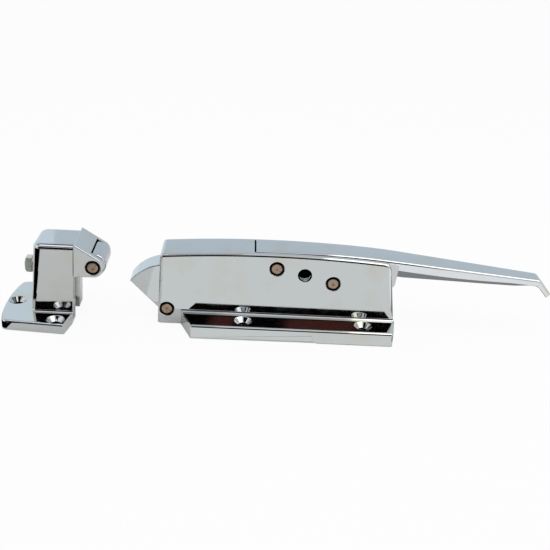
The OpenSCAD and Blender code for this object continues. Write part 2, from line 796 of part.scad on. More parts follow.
// Tube on the handle's link pin, from y to y + w
module link_spacer(y, w) {
    difference() {
        y_rod(arm_pin_at, link_pin_d / 2 + 1.5, y, w);
        y_rod(arm_pin_at, link_pin_d / 2 + pin_fit, y - 1, w + 2);
    }
}

module link_spacer_near() latch_frame() color(zinc_steel) {
    start = handle_y + cheek_t + 0.2;
    link_spacer(start, link_y - link_t / 2 - side_fit - start);
}

module link_spacer_far() latch_frame() color(zinc_steel) {
    start = link_y + link_t / 2 + side_fit;
    link_spacer(start, handle_y + handle_w - cheek_t - 0.2 - start);
}

// Slab whose outline from above is the strike's flange, rounded along its upper edges
module strike_flange() {
    r = 1.8;
    corner_cut = 5;
    half_w = column_w / 2 + strike_flange_w;
    left = -column_len - strike_flange_len;
    taper = atan2(strike_flange_taper, -left - corner_cut);
    intersection() {
        translate([left + strike_end_r, 0, 0]) rotate_extrude($fn = 360) {
            square([strike_end_r - r, strike_flange_t]);
            square([strike_end_r, strike_flange_t - r]);
            translate([strike_end_r - r, strike_flange_t - r]) circle(r);
        }
        for (m = [0, 1]) mirror([0, m, 0]) translate([-corner_cut, -half_w, 0])
            rotate([0, 0, -taper]) translate([left, 0, 0]) rotate([90, 0, 90]) linear_extrude(20 - left) {
                translate([r, 0]) square([half_w + 6, strike_flange_t]);
                square([half_w + 6, strike_flange_t - r]);
                translate([r, strike_flange_t - r]) circle(r);
            }
        linear_extrude(strike_flange_t) difference() {
            polygon([
                [left - 1, -half_w - 1],
                [-corner_cut - 0.3, -half_w - 1],
                [-foot_back, -half_w + 15],
                [-foot_back, half_w - 15],
                [-corner_cut - 0.3, half_w + 1],
                [left - 1, half_w + 1]
            ]);
            for (m = [0, 1]) mirror([0, m]) flange_corner([-corner_cut, -half_w], taper, left);
        }
    }
}

// What a rounded corner of the strike's flange leaves out, on an edge that runs from start towards left
module flange_corner(start, taper, left) {
    r = 5;
    middle = [left + strike_end_r, 0];
    along = [-cos(taper), sin(taper)];
    out = [-sin(taper), -cos(taper)];
    inset = start - r * out - middle;
    run = sqrt(pow(inset * along, 2) - inset * inset + pow(strike_end_r - r, 2)) - inset * along;
    centre = middle + inset + run * along;
    end_out = (centre - middle) / norm(centre - middle);
    reach = 4 * r;
    difference() {
        polygon([
            centre,
            centre + reach * out,
            centre + 1.5 * reach * (out + end_out) / norm(out + end_out),
            centre + reach * end_out
        ]);
        translate(centre) circle(r + tuck);
    }
}

// Column of the strike, whose roller side and outer side lean towards each other
module strike_column() {
    r = 4;
    top_r = 2.4;
    corner = [(column_h - r) * tan(column_lean) + r / cos(column_lean) - column_len, column_h - r];
    intersection() {
        across(-column_w / 2, column_w) {
            polygon([
                [-column_len, 0],
                [-foot_back, 0],
                [0, column_h],
                corner + [0, r],
                corner + r * dir(180 - column_lean)
            ]);
            translate(corner) circle(r);
        }
        translate([-column_len, 0, 0]) rotate([0, column_lean, 0]) translate([0, -column_w / 2, -5])
            linear_extrude(90) round_rect([far / 4, column_w], r, 1);
        translate([-far / 4, 0, 0]) rotate([90, 0, 90]) linear_extrude(far / 4) {
            translate([-column_w / 2 + top_r, 0]) square([column_w - 2 * top_r, column_h]);
            translate([-column_w / 2, 0]) square([column_w, column_h - top_r]);
            for (s = [-1, 1]) translate([s * (column_w / 2 - top_r), column_h - top_r]) circle(top_r);
        }
        translate([-foot_back, 0, 0]) rotate([0, roller_side_lean, 0]) translate([-far / 4, -column_w / 2, -5])
            linear_extrude(90) round_rect([far / 4, column_w], 1, 1.6);
    }
}

// Cast base of the strike: flange, hollow column, seat for the adjusting bolt, guide groove
module strike_base() strike_frame() color(chrome) {
    difference() {
        union() {
            strike_flange();
            strike_column();
        }
        translate([pad_x - far, 0, 0]) rotate([90, 0, 90]) linear_extrude(far)
            slot_outline([0, adjust_z - adjust_down], [0, adjust_z + adjust_up], pad_half_w);
        translate([-column_len + column_wall + 1, -column_w / 2 + column_wall, -1])
            cube([column_len - 2 * column_wall - guide_t, column_w - 2 * column_wall, column_h - column_wall + 1]);
        translate([-far / 8, 0, 0]) rotate([90, 0, 90]) linear_extrude(far / 4)
            slot_outline([0, adjust_z - adjust_down - 0.5], [0, adjust_z + adjust_up + 0.5], adjust_d / 2 + 0.4);
        translate([-guide_t - 0.3, -guide_w / 2 - 0.2, tongue_z - adjust_down - 1.5])
            cube([guide_t + 1, guide_w + 0.4, guide_top + adjust_up - tongue_z + adjust_down + 2]);
        translate([-column_len / 2, -foot_opening_w / 2, -1]) cube([column_len, foot_opening_w, foot_opening_h + 1]);
        translate([-column_len - end_screw_gap, 0, 0]) countersunk_hole(strike_flange_t);
        for (s = [-1, 1]) translate([-side_screw_x, s * (column_w / 2 + side_screw_y), 0])
            countersunk_hole(strike_flange_t);
    }
}

// Outline of the roller head from the side
module head_outline() {
    corner = [head_x, head_top_z];
    run = [roller_x, roller_z] - corner;
    tangent = atan2(run[1], run[0]) + asin(nose_r / norm(run)) + 90;
    touch = [roller_x, roller_z] + nose_r * dir(tangent);
    translate([roller_x, roller_z]) circle(nose_r);
    polygon([
        corner,
        touch,
        [roller_x, roller_z],
        [roller_x, roller_z - nose_r],
        [head_x, roller_z - nose_r]
    ]);
}

// Roller head: two cheeks and a web that slide on the column by a ribbed tongue
module strike_head() strike_frame() color(chrome) {
    foot_r = 2.5;
    half_w = tongue_w / 2;
    difference() {
        union() {
            across(-head_w / 2, head_w) head_outline();
            translate([head_x, 0, 0]) rotate([90, 0, 90]) linear_extrude(tongue_t) {
                translate([tuck - half_w, tongue_z + foot_r])
                    square([2 * (half_w - tuck), roller_z - tongue_z - foot_r]);
                translate([foot_r - half_w, tongue_z + tuck]) square([2 * (half_w - foot_r), foot_r]);
                for (s = [-1, 1]) translate([s * (half_w - foot_r), tongue_z + foot_r]) circle(foot_r);
            }
            translate([-guide_t, -guide_w / 2, tongue_z + foot_r])
                cube([guide_t + 1, guide_w, guide_top - tongue_z - foot_r]);
        }
        y_rod([roller_x, roller_z], pocket_clear_r, -roller_len / 2 - side_fit, roller_len + 2 * side_fit);
        y_rod([roller_x, roller_z], rivet_d / 2 + pin_fit, -head_w, 2 * head_w);
        for (y = [-head_w / 2 - 1, head_w / 2 - 0.9]) y_rod([roller_x, roller_z], recess_d / 2, y, 1.9);
        translate([-guide_t - 1, 0, adjust_z]) rotate([0, 90, 0])
            cylinder(d = adjust_d + 2 * pin_fit, h = guide_t + 1 + adjust_tip_x + 0.3);
    }
}

// Roller with rounded ends
module strike_roller() strike_frame() color(chrome_dark) {
    r = roller_edge_r;
    bore_r = rivet_d / 2 + pin_fit;
    translate([roller_x, -roller_len / 2, roller_z]) rotate([-90, 0, 0]) rotate_extrude() {
        translate([bore_r, tuck]) square([roller_r - r - bore_r, roller_len - 2 * tuck]);
        translate([bore_r, r]) square([roller_r - tuck - bore_r, roller_len - 2 * r]);
        for (y = [r, roller_len - r]) translate([roller_r - r, y]) circle(r);
    }
}

module roller_pin() strike_frame() color(rivet_steel) translate([0, -head_w / 2, 0])
    rivet([roller_x, roller_z], head_w, 0.9);

// Hexagon bolt that clamps the head to the column
module adjusting_bolt() strike_frame() color(zinc_steel) translate([adjust_head_x, 0, adjust_z]) rotate([0, 90, 0]) {
    intersection() {
        rotate([0, 0, 30]) cylinder(d = adjust_flats / cos(30), h = adjust_head_t, $fn = 6);
        cylinder(r1 = adjust_flats / 2 - 0.3, r2 = adjust_flats / 2 + 6, h = adjust_head_t);
    }
    cylinder(d = adjust_d, h = adjust_tip_x - adjust_head_x - 0.8);
    translate([0, 0, adjust_tip_x - adjust_head_x - 0.8]) cylinder(d1 = adjust_d, d2 = adjust_d - 1.6, h = 0.8);
}

// Ring on the adjusting bolt, from x to x + t
module bolt_ring(x, outer_d, t) {
    translate([x, 0, adjust_z]) rotate([0, 90, 0]) difference() {
        cylinder(d = outer_d, h = t);
        translate([0, 0, -1]) cylinder(d = adjust_d + 2 * pin_fit, h = t + 2);
    }
}

// Split spring washer, cut through at one place
module adjusting_lock_washer() strike_frame() color(zinc_steel) difference() {
    bolt_ring(pad_x - washer_t - lock_washer_t, adjust_flats + 0.6, lock_washer_t);
    translate([pad_x - washer_t - lock_washer_t - 1, 0, adjust_z]) rotate([12, 0, 0])
        translate([0, -0.6, 0]) cube([lock_washer_t + 2, 1.2, adjust_flats]);
}

module adjusting_washer() strike_frame() color(zinc_steel) bolt_ring(pad_x - washer_t, adjust_flats + 3.2, washer_t);

housing();
bolt();
bolt_pin();
bolt_washers();
bolt_spring();
bolt_link_pin();
pull_link();
handle();
handle_pin();
handle_link_pin();
link_spacer_near();
link_spacer_far();
stop_pin();
strike_base();
strike_head();
strike_roller();
roller_pin();
adjusting_bolt();
adjusting_lock_washer();
adjusting_washer();
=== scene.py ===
"""Dresses the walk-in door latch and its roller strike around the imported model.

Every shape is built in millimetres, in the frame of its own sub-assembly, and ends as a piece in
metres in the row frame. The latch's frame has its corner at the bolt end, the near wall and the
mounting face. The strike's frame has it at the foot of the column's roller side.
"""

from __future__ import annotations

import logging
import math
from collections.abc import Sequence
from dataclasses import dataclass
from enum import Enum

import bmesh
import bpy
from mathutils import Matrix, Vector


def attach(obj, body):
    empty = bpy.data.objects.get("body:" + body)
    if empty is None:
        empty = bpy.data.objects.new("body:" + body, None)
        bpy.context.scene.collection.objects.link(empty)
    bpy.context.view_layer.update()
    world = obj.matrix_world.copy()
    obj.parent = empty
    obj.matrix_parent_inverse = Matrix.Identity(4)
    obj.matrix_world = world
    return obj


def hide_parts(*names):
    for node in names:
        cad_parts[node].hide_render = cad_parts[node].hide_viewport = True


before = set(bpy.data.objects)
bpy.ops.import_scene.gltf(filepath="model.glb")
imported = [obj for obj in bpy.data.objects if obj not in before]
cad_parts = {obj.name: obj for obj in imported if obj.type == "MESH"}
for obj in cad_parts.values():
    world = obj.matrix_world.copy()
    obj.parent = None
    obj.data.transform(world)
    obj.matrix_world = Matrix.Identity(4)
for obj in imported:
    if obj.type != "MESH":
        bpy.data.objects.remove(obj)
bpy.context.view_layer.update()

LOG = logging.getLogger("door_latch")
MM = 0.001
EPS = 0.01
LATCH_CORNER = Vector((-106.3, -15.1, 0.0))
STRIKE_CORNER = Vector((-164.9, -3.0, 0.0))
# Bores and recesses that several pieces share, in millimetres
PIN_BORE_R = 4.05
LINK_BORE_R = 2.55
RECESS_R = 5.475
HEAD_SUNK = 0.9
STRIKE_SCREWS = ((-45.5, 0.0), (-12.2, -28.4), (-12.2, 28.4))

Point = tuple[float, float]
Corner = tuple[float, float, float]
Span = tuple[float, float, float, float]


class Axis(Enum):
    """Direction in which an outline is extruded, or about which a profile turns."""

    X = 0
    Y = 1
    Z = 2


class Join(Enum):
    """How one solid is set against another."""

    UNION = "UNION"
    CUT = "DIFFERENCE"
    KEEP = "INTERSECT"


# Outlines


def aim(degrees: float) -> Vector:
    """Unit vector at an angle in the plane of an outline."""
    return Vector((math.cos(math.radians(degrees)), math.sin(math.radians(degrees))))


def arc_points(centre: Point, radius: float, start: float, end: float, steps: int) -> list[Point]:
    """Points along an arc.

    Args:
        centre: Middle of the arc.
        radius: Its radius.
        start: Angle of its first point, in degrees.
        end: Angle of its last point, in degrees.
        steps: Number of its chords.

    Returns:
        The points, both ends included.
    """
    points = []
    for i in range(steps + 1):
        spoke = aim(start + (end - start) * i / steps) * radius
        points.append((centre[0] + spoke.x, centre[1] + spoke.y))
    return points


def plain(points: Sequence[Point]) -> list[Corner]:
    """Corners without rounding."""
    return [(x, y, 0.0) for x, y in points]


def box(left: float, right: float, low: float, high: float, radii: Span = (0.0,) * 4) -> list[Corner]:
    """Corners of a rectangle, with their radii from the lower left one on."""
    spots = ((left, low), (right, low), (right, high), (left, high))
    return [(x, y, radius) for (x, y), radius in zip(spots, radii)]


def quarter(steps: int) -> list[Point]:
    """How far the points of a quarter round of radius 1 lie inside its first and its last side."""
    turns = [math.pi / 2 * k / steps for k in range(steps + 1)]
    return [(1 - math.cos(t), 1 - math.sin(t)) for t in turns]


def rounded(corners: Sequence[Corner], inset: float = 0.0, steps: int = 6) -> list[Point]:
    """Rounds the corners of an outline and sets its sides in.

    Args:
        corners: Anticlockwise corners, each with its radius; 0 keeps a corner sharp.
        inset: How far the sides lie inside the outline.
        steps: Chords of each rounding.

    Returns:
        The outline, with as many points whatever the inset.
    """
    spots = [Vector(c[:2]) for c in corners]
    count = len(spots)
    runs = [(spots[(i + 1) % count] - spots[i]).normalized() for i in range(count)]
    points: list[Point] = []
    for i, spot in enumerate(spots):
        before, after = runs[i - 1], runs[i]
        inward = Vector((-before.y, before.x)) + Vector((-after.y, after.x))
        spot = spot + inward * (inset / (1.0 + before.dot(after)))
        if corners[i][2] == 0.0:
            points.append((spot.x, spot.y))
            continue
        turn = math.atan2(before.x * after.y - before.y * after.x, before.dot(after))
        side = 1.0 if turn > 0 else -1.0
        radius = max(corners[i][2] - side * inset, EPS)
        start = spot - before * radius * math.tan(abs(turn) / 2)
        centre = start + Vector((-before.y, before.x)) * radius * side
        spoke = start - centre
        for k in range(steps + 1):
            bend = turn * k / steps
            cos, sin = math.cos(bend), math.sin(bend)
            points.append(
                (centre.x + spoke.x * cos - spoke.y * sin, centre.y + spoke.x * sin + spoke.y * cos)
            )
    return points


def placed(axis: Axis, u: float, v: float, height: float) -> Vector:
    """Puts an outline's point in space: outlines are drawn in XY, XZ or YZ.

    Args:
        axis: Direction that the outline's plane faces.
        u: The point's first measure in that plane.
        v: Its second.
        height: Place of the plane along the axis.

    Returns:
        The point.
    """
    if axis is Axis.Z:
        return Vector((u, v, height))
    if axis is Axis.Y:
        return Vector((u, height, v))
    return Vector((height, u, v))


# Solids


def linked(name: str, data: bpy.types.ID) -> bpy.types.Object:
    """Makes an object of its data and links it to the scene.

    Args:
        name: Its name.
        data: Its mesh, lamp or camera.

    Returns:
        The object.
    """
    made = bpy.data.objects.new(name, data)
    bpy.context.scene.collection.objects.link(made)
    return made


def object_of(bm: bmesh.types.BMesh, name: str = "form") -> bpy.types.Object:
    """Makes a linked object of a closed mesh, with its faces turned outwards.

    Args:
        bm: The mesh, which is freed.
        name: Name of the object.

    Returns:
        The object.
    """
    bmesh.ops.recalc_face_normals(bm, faces=bm.faces)
    mesh = bpy.data.meshes.new(name)
    bm.to_mesh(mesh)
    bm.free()
    return linked(name, mesh)


def loft(rings: Sequence[Sequence[Vector]], strips: bool = False) -> bpy.types.Object:
    """Joins rings of equal length to a closed solid.

    Args:
        rings: The rings, from the first cap to the last.
        strips: Closes the last ring by strips between its mirrored points, for a curved top.

    Returns:
        The solid.
    """
    bm = bmesh.new()
    rows = [[bm.verts.new(point) for point in ring] for ring in rings]
    count = len(rows[0])
    for low, high in zip(rows, rows[1:]):
        for i in range(count):
            bm.faces.new((low[i], low[(i + 1) % count], high[(i + 1) % count], high[i]))
    bm.faces.new(tuple(reversed(rows[0])))
    top = rows[-1]
    if strips:
        for i in range(count // 2 - 1):
            bm.faces.new((top[i], top[i + 1], top[count - 2 - i], top[count - 1 - i]))
    else:
        bm.faces.new(tuple(top))
    return object_of(bm)


def slab(
    corners: Sequence[Corner],
    axis: Axis,
    low: float,
    high: float,
    rim_low: float = 0.0,
    rim_high: float = 0.0,
    steps: int = 5,
) -> bpy.types.Object:
    """Extrudes an outline and rounds its rims.

    Args:
        corners: Anticlockwise corners with their radii.
        axis: Direction of the extrusion.
        low: Where it starts.
        high: Where it ends.
        rim_low: Rounding along the rim of the start.
        rim_high: Rounding along the rim of the end.
        steps: Chords of each rim.

    Returns:
        The solid.
    """
    bends = quarter(steps)
    levels = [(rim_low * b, low + rim_low * a) for a, b in bends] if rim_low > 0 else [(0.0, low)]
    levels += [(rim_high * a, high - rim_high * b) for a, b in bends] if rim_high > 0 else [(0.0, high)]
    return loft([[placed(axis, u, v, z) for u, v in rounded(corners, inset)] for inset, z in levels])


def lathe(
    profile: Sequence[Point], axis: Axis, at: Point, segments: int = 96, tube: bool = False
) -> bpy.types.Object:
    """Turns a profile about an axis.

    Args:
        profile: Radius and height of each point, from one end of the axis to the other, or all
            round the section of a tube.
        axis: Direction of the axis.
        at: Where the axis stands, in the plane of the outlines drawn for it.
        segments: Facets round the axis.
        tube: The profile is the closed section of a ring.

    Returns:
        The solid.
    """
    bm = bmesh.new()
    rings: list[list[bmesh.types.BMVert]] = []
    for radius, height in profile:
        if radius < 1e-6:
            rings.append([bm.verts.new(placed(axis, at[0], at[1], height))])
            continue
        spokes = [aim(360.0 * k / segments) * radius for k in range(segments)]
        rings.append([bm.verts.new(placed(axis, at[0] + s.x, at[1] + s.y, height)) for s in spokes])
    pairs = list(zip(rings, rings[1:]))
    if tube:
        pairs.append((rings[-1], rings[0]))
    for a, b in pairs:
        for k in range(segments):
            j = (k + 1) % segments
            corners = [a[k % len(a)], a[j % len(a)], b[j % len(b)], b[k % len(b)]]
            face = tuple(dict.fromkeys(corners))
            if len(face) > 2:
                bm.faces.new(face)
    if not tube:
        for end in (rings[0], rings[-1]):
            if len(end) > 1:
                bm.faces.new(tuple(end))
    return object_of(bm)


def rod(
    axis: Axis, at: Point, radius: float, low: float, high: float, segments: int = 96
) -> bpy.types.Object:
    """Round bar or bore."""
    return lathe([(0, low), (radius, low), (radius, high), (0, high)], axis, at, segments)


def tube_along(path: Sequence[Vector], radius: float, sides: int = 16) -> bpy.types.Object:
    """Round wire along a path.

    Args:
        path: Points of its centreline.
        radius: Radius of the wire.
        sides: Facets round it.

    Returns:
        The solid.
    """
    rings = []
    for i, spot in enumerate(path):
        run = (path[min(i + 1, len(path) - 1)] - path[max(i - 1, 0)]).normalized()
        across = Vector((0, 1, 0)).cross(run).normalized()
        other = run.cross(across)
        turns = [2 * math.pi * k / sides for k in range(sides)]
        rings.append([spot + (across * math.cos(t) + other * math.sin(t)) * radius for t in turns])
    return loft(rings)


class Form:
    """A solid that is joined, cut and kept in millimetres, and ends as a piece."""

    def __init__(self, start: bpy.types.Object) -> None:
        """Starts from one solid."""
        self.solid = start

    def _set(self, tools: Sequence[bpy.types.Object], how: Join) -> Form:
        """Sets the solid against the tools, one after the other, and removes them.

        Args:
            tools: The other solids.
            how: Whether they are joined, cut away or kept.

        Returns:
            The form itself.
        """
        for tool in tools:
            step = self.solid.modifiers.new("step", "BOOLEAN")
            step.operation = how.value
            step.solver = "EXACT"
            step.object = tool
        reader = bpy.context.evaluated_depsgraph_get()
        mesh = bpy.data.meshes.new_from_object(self.solid.evaluated_get(reader))
        self.solid.modifiers.clear()
        self.solid.data = mesh
        for tool in tools:
            bpy.data.objects.remove(tool)
        return self

    def join(self, *tools: bpy.types.Object) -> Form:
        """Adds solids."""
        return self._set(tools, Join.UNION)

    def cut(self, *tools: bpy.types.Object) -> Form:
        """Takes solids away."""
        return self._set(tools, Join.CUT)

    def keep(self, *tools: bpy.types.Object) -> Form:
        """Keeps what lies in each solid too."""
        return self._set(tools, Join.KEEP)

    def piece(self, name: str, corner: Vector, body: str, material: bpy.types.Material) -> None:
        """Turns the solid into a piece, in metres, that stands for the CAD node of its name.

        Args:
            name: CAD node that it replaces; the piece has the node's name with _form.
            corner: Corner of the sub-assembly's frame in the row frame, in millimetres.
            body: CAD body that it rides on.
            material: Its finish.
        """
        bm = bmesh.new()
        bm.from_mesh(self.solid.data)
        bmesh.ops.remove_doubles(bm, verts=bm.verts, dist=0.002)
        bmesh.ops.dissolve_degenerate(bm, edges=bm.edges, dist=0.001)
        bmesh.ops.transform(bm, matrix=Matrix.Scale(MM, 4) @ Matrix.Translation(corner), verts=bm.verts)
        mesh = bpy.data.meshes.new(name + "_form")
        bm.to_mesh(mesh)
        bm.free()
        bpy.data.objects.remove(self.solid)
        made = linked(name + "_form", mesh)
        mesh.shade_smooth()
        mesh.set_sharp_from_angle(angle=math.radians(32))
        weighted = made.modifiers.new("weighted_normals", "WEIGHTED_NORMAL")
        weighted.keep_sharp = True
        weighted.weight = 60
        mesh.materials.clear()
        mesh.materials.append(material)
        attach(made, body)
        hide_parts(name)
        LOG.info("%s: %d faces on %s", made.name, len(mesh.polygons), body)


# Finishes


def linear(colour: str) -> Span:
    """Turns an sRGB hex colour to linear red, green, blue and alpha.

    Args:
        colour: The colour, such as #C6C9C9.

    Returns:
        The four numbers.
    """
    parts = [int(colour[i : i + 2], 16) / 255 for i in (1, 3, 5)]
    red, green, blue = [p / 12.92 if p <= 0.04045 else ((p + 0.055) / 1.055) ** 2.4 for p in parts]
    return (red, green, blue, 1.0)


def add_node(
    tree: bpy.types.NodeTree,
    kind: str,
    values: dict[str | int, object] | None = None,
    links: dict[str | int, bpy.types.NodeSocket] | None = None,
    **settings: object,
) -> bpy.types.Node:
    """Adds a node with its settings and links.

    Args:
        tree: Node tree that it goes into.
        kind: Type of the node.
        values: Value of each unlinked input, by name or number.
        links: Output that feeds each linked input.
        settings: Properties of the node.

    Returns:
        The node.
    """
    made = tree.nodes.new(kind)
    for key, value in settings.items():
        setattr(made, key, value)
    for key, value in (values or {}).items():
        made.inputs[key].default_value = value
    for key, source in (links or {}).items():
        tree.links.new(source, made.inputs[key])
    return made


def noise(
    tree: bpy.types.NodeTree, place: bpy.types.NodeSocket, size: float, detail: float, roughness: float
) -> bpy.types.NodeSocket:
    """Noise whose features are a number of millimetres across."""
    values = {"Scale": 1.0 / (size * MM), "Detail": detail, "Roughness": roughness}
    return add_node(tree, "ShaderNodeTexNoise", values, {"Vector": place}).outputs["Fac"]


def ramp(
    tree: bpy.types.NodeTree, source: bpy.types.NodeSocket, spans: Span, **settings: object
) -> bpy.types.NodeSocket:
    """Maps a value from its span, the first two numbers, to another, the last two."""
    values = dict(zip(("From Min", "From Max", "To Min", "To Max"), spans))
    return add_node(tree, "ShaderNodeMapRange", values, {"Value": source}, **settings).outputs["Result"]


def new_material(name: str) -> bpy.types.Material:
    """Makes a material with an empty node tree.

    Args:
        name: Its name.

    Returns:
        The material.
    """
    material = bpy.data.materials.new(name)
    material.use_nodes = True
    material.node_tree.nodes.clear()
    return material


@dataclass(frozen=True)
class MetalFinish:
    """A bare or plated metal with smudges, tiny marks and an uneven gloss.

    The metal's colour and its smudge colour lie in large soft patches. Fine specks change the gloss,
    as handling and packing leave on a plated part. An edge colour is painted shade on the sides of a
    rivet's head that turn away from the Y axis, round its face.
    """

    name: str
    colour: str
    smudge: str
    smudge_size: float
    smudge_share: float
    roughness: float
    roughness_worn: float
    grain_size: float
    grain_height: float
    # Colour of the painted shade on a rivet's head, on its sides that turn away from the Y axis
    edge: str = ""

    def paint_side_shade(
        self, tree: bpy.types.NodeTree, normal: bpy.types.NodeSocket, tint: bpy.types.NodeSocket
    ) -> bpy.types.NodeSocket:
        """Darkens what turns away from the Y axis: painted shade round a rivet's face.

        Args:
            tree: Node tree of the material.
            normal: The face's direction.
            tint: Colour so far.

        Returns:
            The colour with its painted shade.
        """
        parts = add_node(tree, "ShaderNodeSeparateXYZ", links={0: normal})
        along = add_node(tree, "ShaderNodeMath", links={0: parts.outputs["Y"]}, operation="ABSOLUTE")
        share = ramp(tree, along.outputs[0], (0.93, 0.985, 1.0, 0.0))
        dark = {7: linear(self.edge)}
        return add_node(tree, "ShaderNodeMix", dark, {0: share, 6: tint}, data_type="RGBA").outputs[2]

    def build(self) -> bpy.types.Material:
        """Makes the material.

        Returns:
            The material.
        """
        material = new_material(self.name)
        tree = material.node_tree
        coordinates = add_node(tree, "ShaderNodeTexCoord")
        place = coordinates.outputs["Object"]
        cloud = noise(tree, place, self.smudge_size, 3.0, 0.55)
        patch = ramp(tree, cloud, (0.46, 0.72, 0.0, self.smudge_share), interpolation_type="SMOOTHSTEP")
        shades = {6: linear(self.colour), 7: linear(self.smudge)}
        tint = add_node(tree, "ShaderNodeMix", shades, {0: patch}, data_type="RGBA").outputs[2]
        # Painted shade on the sides that turn away from the Y axis, round a rivet's face
        if self.edge:
            tint = self.paint_side_shade(tree, coordinates.outputs["Normal"], tint)
        grain = noise(tree, place, self.grain_size, 4.0, 0.6)
        gloss = ramp(tree, grain, (0.35, 0.75, self.roughness, self.roughness_worn))
        height = {"Strength": 1.0, "Distance": self.grain_height * MM}
        relief = add_node(tree, "ShaderNodeBump", height, {"Height": grain})
        shader = add_node(
            tree,
            "ShaderNodeBsdfPrincipled",
            {"Metallic": 1.0},
            {"Base Color": tint, "Roughness": gloss, "Normal": relief.outputs["Normal"]},
        )
        add_node(tree, "ShaderNodeOutputMaterial", links={"Surface": shader.outputs["BSDF"]})
        return material


# Bright chromium plate over a polished zinc die casting: mirror-like and a little cool, with faint
# warm smudges from handling.
CHROME = MetalFinish("chrome_on_zinc_casting", "#C6C9C9", "#C2BFB0", 28, 0.55, 0.035, 0.09, 9, 0.0)
# The same plate on a turned roller, with the fine tracks of rolling.
ROLLER_CHROME = MetalFinish("chrome_on_turned_steel", "#BFC2C4", "#B4B5B2", 8, 0.5, 0.06, 0.14, 1.2, 0.002)
# Copper-washed steel of the rivets, peened and tarnished: a brown, satin metal, with painted shade on the
# sides of its heads.
RIVET_STEEL = MetalFinish(
    "copper_washed_steel", "#A69280", "#75604F", 1.6, 0.8, 0.30, 0.45, 0.5, 0.02, "#18120F"
)
# Zinc plate on cold-formed steel: a greenish grey, satin and slightly mottled.
ZINC_STEEL = MetalFinish("zinc_plated_steel", "#E2E3D8", "#C6C9BA", 2.5, 0.7, 0.46, 0.60, 0.6, 0.01)
# Hard-drawn spring wire: dark grey with draw marks.
SPRING_STEEL = MetalFinish("hard_drawn_wire", "#6C6E72", "#55565A", 1.0, 0.6, 0.32, 0.45, 0.4, 0.008)


@dataclass
class Finishes:
    """The materials of every piece."""

    chrome: bpy.types.Material
    roller: bpy.types.Material
    rivet: bpy.types.Material
    zinc: bpy.types.Material
    spring: bpy.types.Material

    @classmethod
    def make(cls) -> Finishes:
        """Builds all of them."""
        return cls(*(f.build() for f in (CHROME, ROLLER_CHROME, RIVET_STEEL, ZINC_STEEL, SPRING_STEEL)))

    def dress(self, node: bpy.types.Object) -> None:
        """Gives a CAD node of plated steel its finish."""
        for holder in node.material_slots:
            holder.material = self.zinc


# Cutters that several castings share


def countersink(at: Point, thickness: float, hole_r: float = 3.4, rim_r: float = 6.55) -> bpy.types.Object:
    """Screw hole with a countersink and a softly broken rim.

    Args:
        at: Its middle on the mounting face.
        thickness: Thickness of the flange.
        hole_r: Radius of the hole.
        rim_r: Radius of the countersink's rim.

    Returns:
        The cutter.
    """
    depth, soft = rim_r - hole_r, 0.25
    rim = [(-soft, -soft), (-0.05, -0.10), (0.12, -0.02), (0.3, 0.004), (0.3, 3.0)]
    profile = [(0.0, -1.0), (hole_r, -1.0), (hole_r, thickness - depth - soft)]
    profile += [(hole_r + 0.07, thickness - depth)]
    profile += [(rim_r + wide, thickness + high) for wide, high in rim]
    return lathe(profile + [(0.0, thickness + 3.0)], Axis.Z, at)


def soft_rims(radius: float, low: float, high: float, soft: float, turns: Sequence[float]) -> list[Point]:
    """Part of a profile between two broken rims.

    Args:
        radius: Radius between the rims.
        low: Height of the first rim.
        high: Height of the last rim.
        soft: Width of the break: above 0 it widens a bore, below 0 it narrows a bar.
        turns: Angles of the break's points, in degrees.

    Returns:
        Its points.
    """
    deep = abs(soft)
    points = [(radius + soft * (1 - aim(t).x), low + deep * (1 - aim(t).y)) for t in reversed(turns)]
    return points + [(radius + soft * (1 - aim(t).x), high - deep * (1 - aim(t).y)) for t in turns]


def side_bore(at: Point, radius: float, low: float, high: float, soft: float = 0.3) -> bpy.types.Object:
    """Bore along Y from face to face, with softly broken rims.

    Args:
        at: Where its axis stands, in X and Z.
        radius: Radius of the bore.
        low: Place of the near face.
        high: Place of the far face.
        soft: Width of the broken rims.

    Returns:
        The cutter.
    """
    profile = [(0.0, low - 2.0), (radius + soft, low - 2.0)]
    profile += soft_rims(radius, low, high, soft, (0.0, 22.5, 45.0, 67.5, 90.0))
    return lathe(profile + [(radius + soft, high + 2.0), (0.0, high + 2.0)], Axis.Y, at)


def rivet_recesses(at: Point, depth: float, near: float, far: float) -> list[bpy.types.Object]:
    """Recesses round the two heads of a rivet.

    Args:
        at: Where the rivet stands, in X and Z.
        depth: Depth of each recess.
        near: Place of the near face along Y.
        far: Place of the far face.

    Returns:
        The two cutters.
    """
    soft = 0.5
    rim = [(0.0, -soft), (0.08, -0.6 * soft), (0.3, -0.3 * soft), (0.6, -0.08 * soft), (1.0, 0.004)]
    cutters = []
    for face, out in ((near, -1.0), (far, 1.0)):
        profile = [(0.0, face - out * depth), (RECESS_R, face - out * depth)]
        profile += [(RECESS_R + wide * soft, face + out * high) for wide, high in rim + [(1.0, 3.0)]]
        cutters.append(lathe(profile + [(0.0, face + out * 3.0)], Axis.Y, at))
    return cutters


